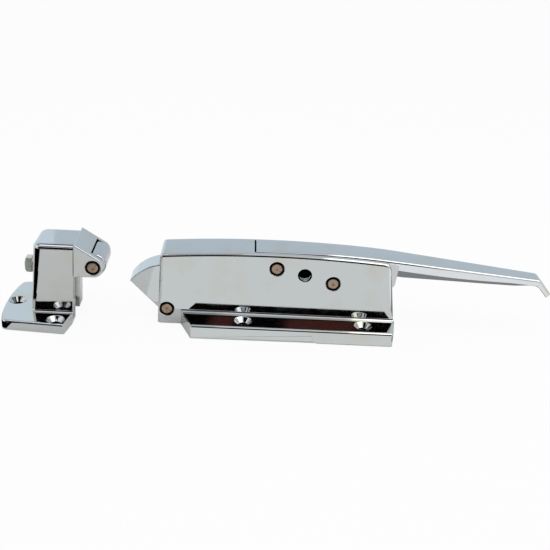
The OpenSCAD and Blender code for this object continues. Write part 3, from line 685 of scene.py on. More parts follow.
@dataclass(frozen=True)
class Rivet:
    """Rivet along Y with a formed head at each end: a flat face with a groove round it."""

    node: str
    at: Point
    span: float
    depth: float
    shank_r: float = 4.0
    head_r: float = 5.3

    def head(self) -> list[Point]:
        """Profile of one head, its height measured inwards from the wall's face.

        Returns:
            Its points, from the shank to the middle of its face.
        """
        face_r, groove = 3.95, min(1.15, self.depth - 0.1)
        profile = [(self.shank_r, self.depth), (self.head_r, self.depth), (self.head_r, groove - 0.5)]
        profile += [(face_r + 0.35, groove), (face_r + 0.08, 0.5), (face_r - 0.12, 0.36), (face_r - 0.4, 0.3)]
        return profile + [(2.2, 0.24), (1.0, 0.28), (0.7, 0.42), (0.0, 0.5)]

    def build(self, corner: Vector, body: str, material: bpy.types.Material) -> None:
        """Makes the rivet's piece.

        Args:
            corner: Corner of the sub-assembly's frame.
            body: CAD body that it rides on.
            material: Its finish.
        """
        head = self.head()
        turned = lathe(head[::-1] + [(r, self.span - h) for r, h in head], Axis.Y, self.at, 72)
        Form(turned).piece(self.node, corner, body, material)


# The latch


@dataclass
class Housing:
    """Die-cast housing with its two mounting flanges."""

    length: float = 175.0
    width: float = 30.2
    wall: float = 3.4
    crown: float = 58.4
    crown_x: float = 87.0
    crown_r: float = 940.0
    roof: float = 4.0
    bolt_lean: float = 1.5
    handle_lean: float = 7.5
    top_r: float = 2.6
    upright_r: float = 2.5
    corner_r: float = 3.5
    lip: float = 4.0
    mouth_z: float = 45.7
    end_wall_z: float = 30.0
    flange_w: float = 21.8
    flange_t: float = 10.4
    flange_r: float = 2.0
    root_r: float = 2.1
    relief: float = 0.9
    bolt_at: Point = (6.7, 11.6)
    handle_at: Point = (85.3, 47.3)
    padlock_at: Point = (105.7, 43.3)
    padlock_r: float = 5.05
    stop_at: Point = (126.6, 37.6)
    screws_x: Point = (62.7, 149.9)
    screws_y: float = -10.9
    channel_r: float = 19.90
    recess_depth: float = 1.5
    rib: Span = (21.7, 26.7, 0.0, 5.45)

    def crown_z(self, x: float) -> float:
        """Height of the top's long curve."""
        return self.crown - self.crown_r + math.sqrt(self.crown_r**2 - (x - self.crown_x) ** 2)

    def end_x(self, z: float) -> float:
        """Place of the leaning handle end at a height."""
        return self.length - z * math.tan(math.radians(self.handle_lean))

    def rim_z(self, x: float) -> float:
        """Height of the wall's upper edge, rounded down at the handle end.

        Args:
            x: Place along the housing.

        Returns:
            The height.
        """
        start = self.end_x(self.crown) - self.corner_r
        level = self.crown_z(x)
        if x <= start:
            return level
        over = min((x - start) / self.corner_r, 0.96)
        return level - self.corner_r * (1 - math.sqrt(1 - over * over))

    def half_ring(self, inset: float, drop: float, base: bool) -> list[Vector]:
        """Near half of the outline, from the bolt end to the handle end.

        Args:
            inset: How far it lies inside the outer faces.
            drop: How far it lies below the rim.
            base: It is the outline on the mounting face.

        Returns:
            Its points.
        """
        radius = max(self.upright_r - inset, 0.2)
        corner = arc_points((radius, inset + radius), radius, 180, 270, 6)
        lead = [(x + inset, y, 0.0) for x, y in corner]
        stations = 48
        flat = [(0.0, inset, (i + 1) / (stations + 1)) for i in range(stations)]
        tail = [(-x - inset, y, 1.0) for x, y in reversed(corner)]
        points = []
        for offset, y, share in lead + flat + tail:
            z = 0.0
            for _ in range(1 if base else 4):
                left = z * math.tan(math.radians(self.bolt_lean))
                right = self.end_x(z)
                if share in (0.0, 1.0):
                    x = (left if share == 0.0 else right) + offset
                else:
                    low, high = left + inset + radius, right - inset - radius
                    x = low + (high - low) * share
                if not base:
                    z = self.rim_z(x) - drop
            points.append(Vector((x, y, z)))
        return points

    def ring(self, inset: float, drop: float, base: bool = False) -> list[Vector]:
        """Whole outline: the near half, then its mirror image back."""
        half = self.half_ring(inset, drop, base)
        return half + [Vector((p.x, self.width - p.y, p.z)) for p in reversed(half)]

    def block(self) -> bpy.types.Object:
        """Outer form with its long crown and rounded rim.

        Returns:
            The solid.
        """
        rings = [self.ring(0.0, 0.0, base=True)]
        rings += [self.ring(self.top_r * a, self.top_r * b) for a, b in quarter(8)]
        return loft(rings, strips=True)

    def flange(self, far_side: bool) -> bpy.types.Object:
        """One flange with rounded rim, its root fillet, relief and screw holes.

        Args:
            far_side: It is the far flange, the near one's mirror image.

        Returns:
            The solid.
        """
        depth = self.flange_w
        corners = [(16.4, 1.5, 0.0), (25.6, -depth, 1.6), (170.7, -depth, 1.6), (174.55, 1.5, 0.0)]
        form = Form(slab(corners, Axis.Z, 0.0, self.flange_t, 0.0, self.flange_r))
        form.join(self.root())
        screws = [countersink((x, self.screws_y), self.flange_t) for x in self.screws_x]
        form.cut(self.relief_wedge(), *screws)
        if far_side:
            bm = bmesh.new()
            bm.from_mesh(form.solid.data)
            for vert in bm.verts:
                vert.co.y = self.width - vert.co.y
            bmesh.ops.reverse_faces(bm, faces=bm.faces)
            bm.to_mesh(form.solid.data)
            bm.free()
        return form.solid

    def relief_wedge(self) -> bpy.types.Object:
        """Cutter of the long shallow relief that grows along the flange's lower edge.

        Returns:
            The cutter.
        """
        face, slope, end_z = -self.flange_w, 1.1, 6.2
        rings = []
        for foot_x, top_x, top_z in ((27.1, 27.1, 0.9), (116.8, 111.8, end_z)):
            sunk = self.relief * top_z / end_z
            feet = [(foot_x, -1.0, -1.0), (foot_x, sunk, -1.0)]
            tops = [(top_x, sunk, top_z - slope * sunk), (top_x, -1.0, top_z + slope)]
            rings.append([Vector((x, face + y, z)) for x, y, z in feet + tops])
        return loft(rings)

    def root(self) -> bpy.types.Object:
        """Root of the flange: the wall flares out towards it and runs into a small fillet.

        Returns:
            The solid.
        """
        low, start, radius = self.flange_t, 26.0, self.root_r
        rings = []
        for foot_x, lean, flare in ((17.2, -0.15, 0.0017), (173.4, -0.32, 0.0055)):
            z = low + radius
            for _ in range(4):
                tilt = math.atan(2 * flare * (start - z))
                z = low + radius * (1 - math.sin(tilt))
            wall = [start - (start - z) * k / 12 for k in range(13)]
            face = [(-flare * (start - height) ** 2 - 0.002, height) for height in wall]
            centre = (face[-1][0] - radius * math.cos(tilt), low + radius)
            fillet = arc_points(centre, radius, -math.degrees(tilt), -90, 8)
            outline = [(0.6, low - 0.6), (0.6, start + 0.4), (0.3, start + 0.4)] + face + fillet[1:]
            outline.append((fillet[-1][0], low - 0.6))
            rings.append([Vector((foot_x + lean * (v - low), u, v)) for u, v in outline])
        return loft(rings)

    def hollow(self) -> list[bpy.types.Object]:
        """Solids that open the housing below, at the bolt's mouth and behind the roof.

        Returns:
            The cutters.
        """
        inner = (self.wall, self.width - self.wall)
        back, open_x, over = self.end_x(self.end_wall_z) - self.wall, self.handle_at[0], 70.0
        roof = [(self.lip + 1.5, -1.0), (back, -1.0)]
        stations = (back, 140.0, 110.0, 80.0, 50.0, 20.0, self.lip + 1.5)
        roof += [(x, self.crown_z(x) - self.roof) for x in stations]
        mouth = box(-5.0, 9.0, -1.0, self.mouth_z)
        behind = box(open_x, back, -1.5, over)
        above = box(open_x, 200.0, self.end_wall_z, over)
        cutters = [slab(outline, Axis.Y, *inner) for outline in (plain(roof), mouth, behind, above)]
        return cutters + [rod(Axis.Y, self.handle_at, self.channel_r, *inner, 160)]

    def build(self, finishes: Finishes) -> None:
        """Makes the casting and its rivets.

        Args:
            finishes: The materials.
        """
        form = Form(self.block())
        form.cut(*self.hollow())
        form.join(self.flange(False), self.flange(True))
        form.join(slab(box(*self.rib), Axis.Y, self.wall - 1, self.width - self.wall + 1))
        rivets = {"bolt_pin": self.bolt_at, "handle_pin": self.handle_at, "stop_pin": self.stop_at}
        for at in rivets.values():
            form.cut(rod(Axis.Y, at, PIN_BORE_R, -1.0, self.width + 1))
            form.cut(*rivet_recesses(at, self.recess_depth, 0.0, self.width))
        form.cut(side_bore(self.padlock_at, self.padlock_r, 0.0, self.width))
        form.piece("housing", LATCH_CORNER, "housing", finishes.chrome)
        for node, at in rivets.items():
            Rivet(node, at, self.width, self.recess_depth).build(LATCH_CORNER, "housing", finishes.rivet)


@dataclass
class Bolt:
    """Sector-shaped bolt that turns on the rivet at the housing's foot."""

    at: Point = (6.7, 11.6)
    radius: float = 33.1
    hub_r: float = 6.1
    width: float = 19.5
    middle: float = 15.1
    nose: float = 145.6
    rear: float = 60.0
    pin_at: Point = (3.853, 22.225)
    rim_r: float = 0.9
    link_swing: Point = (-5.0, 57.0)
    link_slot: Point = (16.65, 21.35)
    spring_slot: Point = (8.44, 15.14)
    fan_r: float = 6.2
    coil_room: float = 6.35
    leg_room: Span = (6.7, 66.7, 5.25, 17.75)

    def outline(self) -> list[Point]:
        """Hub, rear flat, holding arc and lower flat, anticlockwise.

        Returns:
            Its points.
        """
        hub_end = self.nose + math.degrees(math.acos(self.hub_r / self.radius))
        rear_top = self.rear - math.degrees(math.asin(self.hub_r / self.radius))
        points = arc_points(self.at, self.hub_r, hub_end, self.rear - 90 + 360, 16)
        return points + arc_points(self.at, self.radius, rear_top, self.nose, 56)

    def build(self, finishes: Finishes) -> None:
        """Makes the bolt, with room for its spring.

        Args:
            finishes: The materials.
        """
        low, high = self.middle - self.width / 2, self.middle + self.width / 2
        form = Form(slab(plain(self.outline()), Axis.Y, low, high, self.rim_r, self.rim_r))
        fan_r, (down, up) = self.fan_r, self.link_swing
        pin = Vector(self.pin_at)
        fan = arc_points(self.pin_at, fan_r, up + 90, down + 270, 10)
        fan += [tuple(pin + aim(down - 90) * fan_r + aim(down) * 60)]
        fan += [tuple(pin + aim((down + up) / 2) * 90)]
        fan += [tuple(pin + aim(up + 90) * fan_r + aim(up) * 60)]
        form.cut(slab(plain(fan), Axis.Y, *self.link_slot))
        link_bore = rod(Axis.Y, self.pin_at, LINK_BORE_R, low + 2, 40)
        form.cut(side_bore(self.at, PIN_BORE_R, low, high), link_bore)
        form.cut(rod(Axis.Y, self.at, self.coil_room, *self.spring_slot))
        form.cut(slab(box(*self.leg_room), Axis.Y, *self.spring_slot))
        form.piece("bolt", LATCH_CORNER, "bolt", finishes.chrome)


@dataclass
class Handle:
    """Cast handle: plate and hooked grip on two cheeks that hang in the housing."""

    width: float = 22.7
    near: float = 3.75
    pivot: Point = (85.3, 47.3)
    top: float = 59.2
    lead_r: float = 19.304
    plate_t: float = 4.6
    curve_x: float = 105.0
    curve_r: float = 672.0
    curve_end: Point = (175.24, 55.52)
    slope: float = 6.0
    tip: Point = (280.5, 44.46)
    hook: float = 50.0
    hook_len: float = 14.5
    body_x: float = 173.8
    side_t: float = 7.2
    edge_r: float = 1.9
    cheek_t: float = 3.4
    hub_r: float = 7.0
    hub_t: float = 5.4
    link_at: Point = (80.72, 24.80)
    padlock_at: Point = (105.7, 43.3)
    padlock_r: float = 5.45
    stop_end: Point = (119.5, 22.3)
    stop_reach: float = 42.4
    stop_r: float = 4.3
    stop_swing: Point = (-36.2, -13.2)

    def top_z(self, x: float) -> float:
        """Top line: level, curving down, then straight.

        Args:
            x: Place along the handle.

        Returns:
            The height.
        """
        if x < self.curve_x:
            return self.top
        if x < self.curve_end[0]:
            return self.top - self.curve_r + math.sqrt(self.curve_r**2 - (x - self.curve_x) ** 2)
        return self.curve_end[1] - (x - self.curve_end[0]) * math.tan(math.radians(self.slope))

    def half_width(self, x: float) -> float:
        """Half the width from above.

        Args:
            x: Place along the handle.

        Returns:
            Half the width.
        """
        start = self.body_x - 6.0
        if x <= start:
            return self.width / 2
        if x <= self.tip[0]:
            return self.width / 2 + (7.3 - self.width / 2) * (x - start) / (self.tip[0] - start)
        return 7.3 - 0.6 * (x - self.tip[0]) / 13.0

    def side_depth(self, x: float) -> float:
        """Depth of the side face.

        Args:
            x: Place along the handle.

        Returns:
            The depth.
        """
        start = self.body_x - 4.0
        if x < start:
            return self.plate_t
        if x < start + 0.2:
            return self.plate_t + (x - start) * 5.0 * (self.side_t - self.plate_t)
        end = self.tip[0] - 22
        if x < end:
            share = (x - start) / (end - start)
            return self.side_t + (5.3 - self.side_t) * share**0.7 + 1.3 * math.sin(math.pi * share)
        return 5.3 + (5.0 - 5.3) * min((x - end) / 22.0, 1.0)

    def section(self, half: float, depth: float, edge: float) -> list[Point]:
        """Section across the grip: sideways place and depth below the top, anticlockwise from below.

        Args:
            half: Half its width.
            depth: Depth of its side faces.
            edge: Rounding of the upper edges.

        Returns:
            Its points.
        """
        low = 0.5
        return rounded(box(-half, half, -depth, 0.0, (low, low, edge, edge)))

    def plate(self) -> bpy.types.Object:
        """Plate, grip and hook in one sweep.

        Returns:
            The solid.
        """
        middle = self.near + self.width / 2
        rings: list[list[Vector]] = []
        start = self.pivot[0] - math.sqrt(self.lead_r**2 - (self.top - self.pivot[1]) ** 2)
        low_start = self.pivot[0] - math.sqrt(self.lead_r**2 - (self.top - self.plate_t - self.pivot[1]) ** 2)
        slant = (low_start - start) / self.plate_t
        stations = [start, start + 2, 88.0] + [105.0 + 3.34 * i for i in range(21)]
        stations += [169.8, 170.0] + [175.2 + 5.0 * i for i in range(17)]
        stations = sorted({*stations, 258.5, 265.0, 272.0, self.tip[0] - 2.2})
        for number, x in enumerate(stations):
            lean = slant if number == 0 else 0.0
            ring = []
            for y, z in self.section(self.half_width(x), self.side_depth(x), self.edge_r):
                ring.append(Vector((x - z * lean, middle + y, self.top_z(x) + z)))
            rings.append(ring)
        bend_steps = 6
        tip = Vector((self.tip[0] - 2.2, self.top_z(self.tip[0] - 2.2)))
        run = 4.4 / bend_steps
        spot = tip.copy()
        for k in range(1, bend_steps + 1):
            angle = -self.slope - (self.hook - self.slope) * k / bend_steps
            spot = spot + aim(angle + (self.hook - self.slope) / bend_steps / 2) * run
            rings.append(self.hook_ring(spot, angle, middle, 4.9 - 0.4 * k / bend_steps))
        length = self.hook_len - 2.2
        for share in (0.5, 0.97):
            place = spot + aim(-self.hook) * length * share
            rings.append(self.hook_ring(place, -self.hook, middle, 4.5 - 0.3 * share))
        last = spot + aim(-self.hook) * length
        rings.append(self.hook_ring(last, -self.hook, middle, 4.1, 0.3))
        return loft(rings)

    def hook_ring(
        self, spot: Vector, angle: float, middle: float, depth: float, shrink: float = 0.0
    ) -> list[Vector]:
        """Section across the hook.

        Args:
            spot: Point of the top line, in X and Z.
            angle: Direction of the top line.
            middle: Middle of the handle.
            depth: Thickness there.
            shrink: How far the section is set in, for the rounded end.

        Returns:
            Its points in space.
        """
        down = aim(angle - 90)
        ring = []
        for y, z in self.section(self.half_width(spot.x) - shrink, depth - 2 * shrink, self.edge_r):
            flat = spot + down * (shrink - z)
            ring.append(Vector((flat.x, middle + y, flat.y)))
        return ring

    def rib(self, middle: float) -> bpy.types.Object:
        """Rib below the grip, tapered in depth, with drafted sides.

        Args:
            middle: Middle of the handle.

        Returns:
            The solid.
        """
        half, root, draft = 5.0, 3.6, 0.24
        stations = [(170.0, 14.4), (178.0, 14.4), (192.0, 13.4), (208.0, 12.2)]
        rings = []
        for x, depth in stations + [(239.0, 10.0), (262.0, 8.1), (277.0, 5.6)]:
            top, wide = self.top_z(x), half + (depth - root) * draft
            corners = [(-half, -depth, 0.8), (half, -depth, 0.8), (wide, -root, 0.0), (-wide, -root, 0.0)]
            rings.append([Vector((x, middle + y, top + z)) for y, z in rounded(corners)])
        return loft(rings)

    def gusset(self, middle: float) -> bpy.types.Object:
        """Fillet inside the hook.

        Args:
            middle: Middle of the handle.

        Returns:
            The solid.
        """
        x = self.tip[0]
        corner = Vector((x - 1.4, self.top_z(x) - 4.9))
        radius, half = 9.0, (self.hook - self.slope) / 2
        down = -90 - self.slope - half
        centre = corner + aim(down) * radius / math.cos(math.radians(half))
        arc = arc_points(tuple(centre), radius, 90 - self.hook, 90 - self.slope, 8)
        inside = [tuple(Vector(arc[-1]) + aim(90 - self.slope)), tuple(corner + aim(down + 180) * 2)]
        inside.append(tuple(Vector(arc[0]) + aim(90 - self.hook)))
        return slab(plain(list(reversed(arc + inside))), Axis.Y, middle - 7.1, middle + 7.1, 0.3, 0.3)

    def cheek(self) -> list[Corner]:
        """Outline of a cheek: hub, lower arm, fan round the stop rivet, lug beside the housing.

        Returns:
            Its corners.
        """
        pivot, arm, stop_end = Vector(self.pivot), Vector(self.link_at), Vector(self.stop_end)
        lug_x = self.body_x
        back = self.top_z(lug_x) - self.plate_t / 2
        arm_dir = math.degrees(math.atan2(arm.y - pivot.y, arm.x - pivot.x))
        left = pivot + aim(arm_dir - 90) * 6.6
        return [
            (left.x - 0.6, self.top - self.plate_t / 2, 0.0),
            (left.x, left.y, 3.0),
            (*(arm + aim(arm_dir - 90) * 6.0 + aim(arm_dir) * 6.0), 5.7),
            (*(arm + aim(arm_dir + 90) * 6.0 + aim(arm_dir) * 6.0), 5.7),
            (pivot.x + 5.4, arm.y + 4.5, 2.0),
            (stop_end.x - 3.2, stop_end.y - 8.3, 5.0),
            (stop_end.x + 4.5, stop_end.y - 7.6, 6.0),
            (stop_end.x + 22.0, 29.0, 20.0),
            (lug_x - 1.8, 35.0, 4.5),
            (lug_x, back, 0.0),
            (self.curve_x, self.top - self.plate_t / 2, 0.0),
        ]

    def stop_slot(self) -> list[Point]:
        """Arc slot round the stop rivet, with round ends.

        Returns:
            Its points.
        """
        low, high = self.stop_swing
        points = []
        for first, last, side, turn in ((low, high, self.stop_r, 0.0), (high, low, -self.stop_r, 180.0)):
            end = Vector(self.pivot) + aim(last) * self.stop_reach
            points += arc_points(self.pivot, self.stop_reach + side, first, last, 24)
            points += arc_points(tuple(end), self.stop_r, last + turn, last + turn + 180, 12)[1:-1]
        return points

    def build(self, finishes: Finishes) -> None:
        """Makes the handle.

        Args:
            finishes: The materials.
        """
        far_face = self.near + self.width
        middle = self.near + self.width / 2
        form = Form(self.plate())
        form.join(self.rib(middle), self.gusset(middle))
        for low, high in ((self.near, self.near + self.cheek_t), (far_face - self.cheek_t, far_face)):
            form.join(slab(self.cheek(), Axis.Y, low, high, 0.35, 0.35))
        hubs = ((self.near + 0.02, self.near + self.hub_t), (far_face - self.hub_t, far_face - 0.02))
        form.join(*(rod(Axis.Y, self.pivot, self.hub_r, *hub) for hub in hubs))
        bx = self.body_x
        end = [(bx - 4.4, 37.4), (bx - 3.2, 36.6), (bx - 2.0, 38.4), (bx - 0.1, 52.0), (bx - 3.4, 52.0)]
        form.join(slab(plain(end), Axis.Y, self.near + 1, far_face - 1))
        form.cut(rod(Axis.Y, self.pivot, PIN_BORE_R, 0, 40), rod(Axis.Y, self.link_at, LINK_BORE_R, 0, 40))
        form.cut(side_bore(self.padlock_at, self.padlock_r, self.near, far_face))
        form.cut(slab(plain(self.stop_slot()), Axis.Y, 0, 40))
        form.piece("handle", LATCH_CORNER, "handle", finishes.chrome)


# The strike


@dataclass
class StrikeBase:
    """Cast base of the strike: flange with a rounded end, and the hollow column."""

    length: float = 32.4
    width: float = 33.4
    height: float = 59.9
    lean: float = 3.4
    right_lean: float = 2.0
    flange_w: float = 19.6
    reach: float = 21.0
    taper: float = 3.8
    flange_t: float = 7.4
    end_r: float = 136.0
    rim_r: float = 1.8
    root_r: float = 1.8
    top_r: float = 3.8
    top_in: float = 5.5
    left_r_low: float = 3.4
    left_r_high: float = 6.2
    right_r: float = 0.5
    wall: float = 5.0
    seat_x: float = -29.156
    seat: Corner = (41.6, 29.6, 7.95)
    slot: Corner = (42.1, 29.1, 3.6)
    guide: Span = (-2.1, 2.0, -4.8, 4.8)
    guide_z: Point = (1.3, 51.5)
    opening: Span = (-8.0, 8.0, -1.0, 15.0)

    def flange(self) -> bpy.types.Object:
        """Flange with its rim rounded, narrower towards its rounded end.

        Returns:
            The solid.
        """
        half = self.width / 2 + self.flange_w
        left = -self.length - self.reach
        narrow = half - self.taper
        sweep = math.degrees(math.asin((narrow - 5.0) / self.end_r))
        end = arc_points((left + self.end_r, 0.0), self.end_r, 180 - sweep, 180 + sweep, 20)
        drop = self.end_r - math.sqrt(self.end_r**2 - narrow**2)
        foot = self.right_x(0.0)
        turn_x = left + drop + 0.2
        corners = [(-5.0, half, 1.0), (turn_x, narrow, 4.6)] + plain(end[1:-1])
        corners += [(turn_x, -narrow, 4.6), (-5.0, -half, 1.0)]
        corners += [(foot, -half + 16, 2.0), (foot, half - 16, 2.0)]
        return slab(corners, Axis.Z, 0.0, self.flange_t, 0.0, self.rim_r)

    def right_x(self, z: float) -> float:
        """Place of the column's leaning roller side at a height."""
        return -(self.height - z) * math.tan(math.radians(self.right_lean))

    def column_ring(
        self, z: float, inset: float = 0.0, top_left: float = 0.0, grown: float = 0.0
    ) -> list[Vector]:
        """Outline of the column at a height.

        Args:
            z: The height.
            inset: How far the near and far faces lie inside, for the rounded top.
            top_left: How far the outer side lies inside, for the rounded top.
            grown: How far three of its sides lie outside, for the fillet at its foot.

        Returns:
            Its points.
        """
        left = -self.length + z * math.tan(math.radians(self.lean)) + top_left - grown
        half = self.width / 2 - inset + grown
        left_r = self.left_r_low + (self.left_r_high - self.left_r_low) * z / self.height
        left_r = max(left_r - inset * 0.6 + grown, 0.5)
        right_r = max(self.right_r - inset, 0.15)
        right = self.right_x(z)
        corners = box(left, right, -half, half, (left_r, right_r, right_r, left_r))
        return [Vector((x, y, z)) for x, y in rounded(corners, 0.0, 8)]

    def column(self) -> bpy.types.Object:
        """Column with two leaning sides, softly rounded edges and a fillet at its foot.

        Returns:
            The solid.
        """
        rings = [self.column_ring(0.0), self.column_ring(self.flange_t - 0.4)]
        foot, bends = self.flange_t - 0.01, quarter(6)
        rings += [self.column_ring(foot + self.root_r * a, grown=self.root_r * b) for a, b in bends]
        rings.append(self.column_ring(40.0))
        for a, b in bends:
            rings.append(self.column_ring(self.height - self.top_r * b, a * self.top_in, a * 4.0))
        return loft(rings)

    def upright_slot(self, high: float, low: float, radius: float, steps: int) -> list[Corner]:
        """Outline of an upright slot with round ends."""
        ends = arc_points((0.0, high), radius, 0, 180, steps)
        return plain(ends + arc_points((0.0, low), radius, 180, 360, steps))

    def build(self, finishes: Finishes) -> None:
        """Makes the base.

        Args:
            finishes: The materials.
        """
        form = Form(self.flange())
        form.join(self.column())
        form.cut(slab(self.upright_slot(*self.seat, 20), Axis.X, -60.0, self.seat_x))
        half = self.width / 2 - self.wall
        pocket = box(-self.length + self.wall + 1, -self.wall - 0.8, -half, half, (2.0,) * 4)
        form.cut(slab(pocket, Axis.Z, -1.0, self.height - self.wall))
        form.cut(slab(self.upright_slot(*self.slot, 16), Axis.X, -50.0, 50.0))
        form.cut(slab(box(*self.guide), Axis.Z, *self.guide_z))
        form.cut(slab(box(*self.opening, (0.0, 0.0, 2.0, 2.0)), Axis.X, -16.2, 16.2))
        form.cut(*(countersink(at, self.flange_t) for at in STRIKE_SCREWS))
        form.piece("strike_base", STRIKE_CORNER, "housing", finishes.chrome)


@dataclass
class StrikeHead:
    """Roller head with its roller, axle and clamping bolt."""

    head_x: float = 0.2
    top: float = 61.0
    roller_at: Point = (13.2, 43.9)
    nose_r: float = 7.6
    width: float = 34.9
    roller_r: float = 8.6
    roller_len: float = 25.0
    bolt_z: float = 37.6
    pad_x: float = -29.156
    gap: float = 1.5
    end_gap: float = 0.75
    back_lean: float = 1.6
    tongue: Span = (-5.5, 5.5, 11.0, 43.0)
    tongue_r: float = 5.2
    key: Span = (-1.8, 1.0, -4.7, 4.7)
    key_z: Point = (13.3, 47.0)
    bolt_bore_r: float = 3.25
    shank_r: float = 3.2
    flats: float = 11.1
    pitch: float = 1.27

    def back_x(self, z: float) -> float:
        """Place of the face towards the column at a height."""
        return self.head_x - (self.top - z) * math.tan(math.radians(self.back_lean))

    def outline(self) -> list[Corner]:
        """Side outline: sloping top, round nose, flat underside.

        Returns:
            Its corners.
        """
        corner = Vector((self.head_x, self.top))
        run = Vector(self.roller_at) - corner
        tangent = math.degrees(math.atan2(run.y, run.x) + math.asin(self.nose_r / run.length)) + 90
        low = self.roller_at[1] - self.nose_r
        points: list[Corner] = [(self.head_x, self.top, 0.4), (self.back_x(low), low, 0.4)]
        points += plain(arc_points(self.roller_at, self.nose_r, -90, tangent, 28))
        return points

    def head(self, finishes: Finishes) -> None:
        """Makes the casting.

        Args:
            finishes: The materials.
        """
        half = self.width / 2
        form = Form(slab(self.outline(), Axis.Y, -half, half, 0.9, 0.9))
        tongue = box(*self.tongue, (self.tongue_r, self.tongue_r, 0.0, 0.0))
        strip = slab(tongue, Axis.X, self.head_x, self.head_x + 2.4, 0.2, 0.8)
        for vert in strip.data.vertices:
            vert.co.x += self.back_x(vert.co.z) - self.head_x
        form.join(strip)
        low = self.roller_at[1] - self.nose_r
        foot = self.back_x(low)
        back = [(self.back_x(60.0), 60.0), (foot, low), (foot + 2.5, low), (self.head_x + 1.6, 58.6)]
        form.join(slab(plain(back), Axis.Y, -half, half, 0.15, 0.15))
        form.join(slab(box(*self.key), Axis.Z, *self.key_z))
        side = self.roller_len / 2 + self.end_gap
        form.cut(rod(Axis.Y, self.roller_at, self.roller_r + self.gap, -side, side))
        form.cut(rod(Axis.Y, self.roller_at, PIN_BORE_R, -30.0, 30.0))
        form.cut(*rivet_recesses(self.roller_at, HEAD_SUNK, -half, half))
        form.cut(rod(Axis.X, (0.0, self.bolt_z), self.bolt_bore_r, -3.0, 2.1))
        form.piece("strike_head", STRIKE_CORNER, "strike_head", finishes.chrome)

    def roller(self, finishes: Finishes) -> None:
        """Makes the roller: turned, with softly broken ends.

        Args:
            finishes: The materials.
        """
        half, radius, soft, bore = self.roller_len / 2, self.roller_r, 1.8, PIN_BORE_R
        section = [(bore, -half), (radius - soft, -half)]
        section += soft_rims(radius, -half, half, -soft, (0, 15, 30, 45, 60, 75))
        section += [(radius - soft, half), (bore, half)]
        turned = lathe(section, Axis.Y, self.roller_at, 128, tube=True)
        Form(turned).piece("strike_roller", STRIKE_CORNER, "roller", finishes.roller)

    def axle(self, finishes: Finishes) -> None:
        """Makes the riveted axle.

        Args:
            finishes: The materials.
        """
        corner = STRIKE_CORNER + Vector((0, -self.width / 2, 0))
        rivet = Rivet("roller_pin", self.roller_at, self.width, HEAD_SUNK)
        rivet.build(corner, "strike_head", finishes.rivet)

    def clamp(self, finishes: Finishes) -> None:
        """Makes the hexagon bolt with its split and flat washers.

        Args:
            finishes: The materials.
        """
        at = (0.0, self.bolt_z)
        head_high = self.pad_x - 3.6
        head_low = head_high - 5.0
        half, shank_r, pitch = self.flats / 2, self.shank_r, self.pitch
        spots = [aim(60 * k) * (half / math.cos(math.pi / 6)) for k in range(6)]
        hexagon = [(at[0] + p.x, at[1] + p.y, 0.35) for p in spots]
        form = Form(slab(hexagon, Axis.X, head_low, head_high, 0.0, 0.3))
        dome = [(0.0, head_low), (half - 0.9, head_low), (half - 0.35, head_low + 0.12)]
        dome += [(half + 5.6, head_high - 0.2), (half + 6.0, head_high + 1.0), (0.0, head_high + 1.0)]
        form.keep(lathe(dome, Axis.X, at))
        x, tip, root_r = -20.0, 1.8, shank_r - 0.6
        shank = [(0.0, head_high - 1.0), (shank_r, head_high - 1.0), (shank_r, x)]
        groove = ((shank_r, 0.2), (root_r, pitch / 2), (shank_r, pitch - 0.2), (shank_r, pitch))
        while x + pitch < tip - 0.9:
            shank += [(radius, x + step) for radius, step in groove]
            x += pitch
        shank += [(shank_r, tip - 0.8), (root_r, tip), (0.0, tip)]
        form.join(lathe(shank, Axis.X, at, 64))
        form.piece("adjusting_bolt", STRIKE_CORNER, "strike_head", finishes.zinc)
        self.washer("adjusting_lock_washer", self.pad_x - 3.6, 2.0, 11.7, True, finishes)
        self.washer("adjusting_washer", self.pad_x - 1.6, 1.6, 14.3, False, finishes)

    def washer(
        self, node: str, low: float, thick: float, outer_d: float, split: bool, finishes: Finishes
    ) -> None:
        """Makes a washer on the clamping bolt.

        Args:
            node: CAD node that it replaces.
            low: Where it starts along the bolt.
            thick: Its thickness.
            outer_d: Its outer diameter.
            split: It is a spring washer, cut through at one place.
            finishes: The materials.
        """
        inner, outer, soft = self.bolt_bore_r, outer_d / 2, 0.25
        section = [(inner, low), (outer - soft, low), (outer, low + soft), (outer, low + thick - soft)]
        section += [(outer - soft, low + thick), (inner, low + thick)]
        form = Form(lathe(section, Axis.X, (0.0, self.bolt_z), 96, tube=True))
        if split:
            across, along = aim(102), aim(12)
            corners = []
            for side, reach in ((-0.6, 0.0), (0.6, 0.0), (0.6, 14.0), (-0.6, 14.0)):
                spot = Vector((0.0, self.bolt_z)) + along * side + across * reach
                corners.append((spot.x, spot.y))
            form.cut(slab(plain(corners), Axis.X, low - 1, low + thick + 1))
        form.piece(node, STRIKE_CORNER, "strike_head", finishes.zinc)

    def build(self, finishes: Finishes) -> None:
        """Makes all that slides on the column.

        Args:
            finishes: The materials.
        """
        self.head(finishes)
        self.roller(finishes)
        self.axle(finishes)
        self.clamp(finishes)


# Hidden small parts keep their CAD solids, apart from the spring


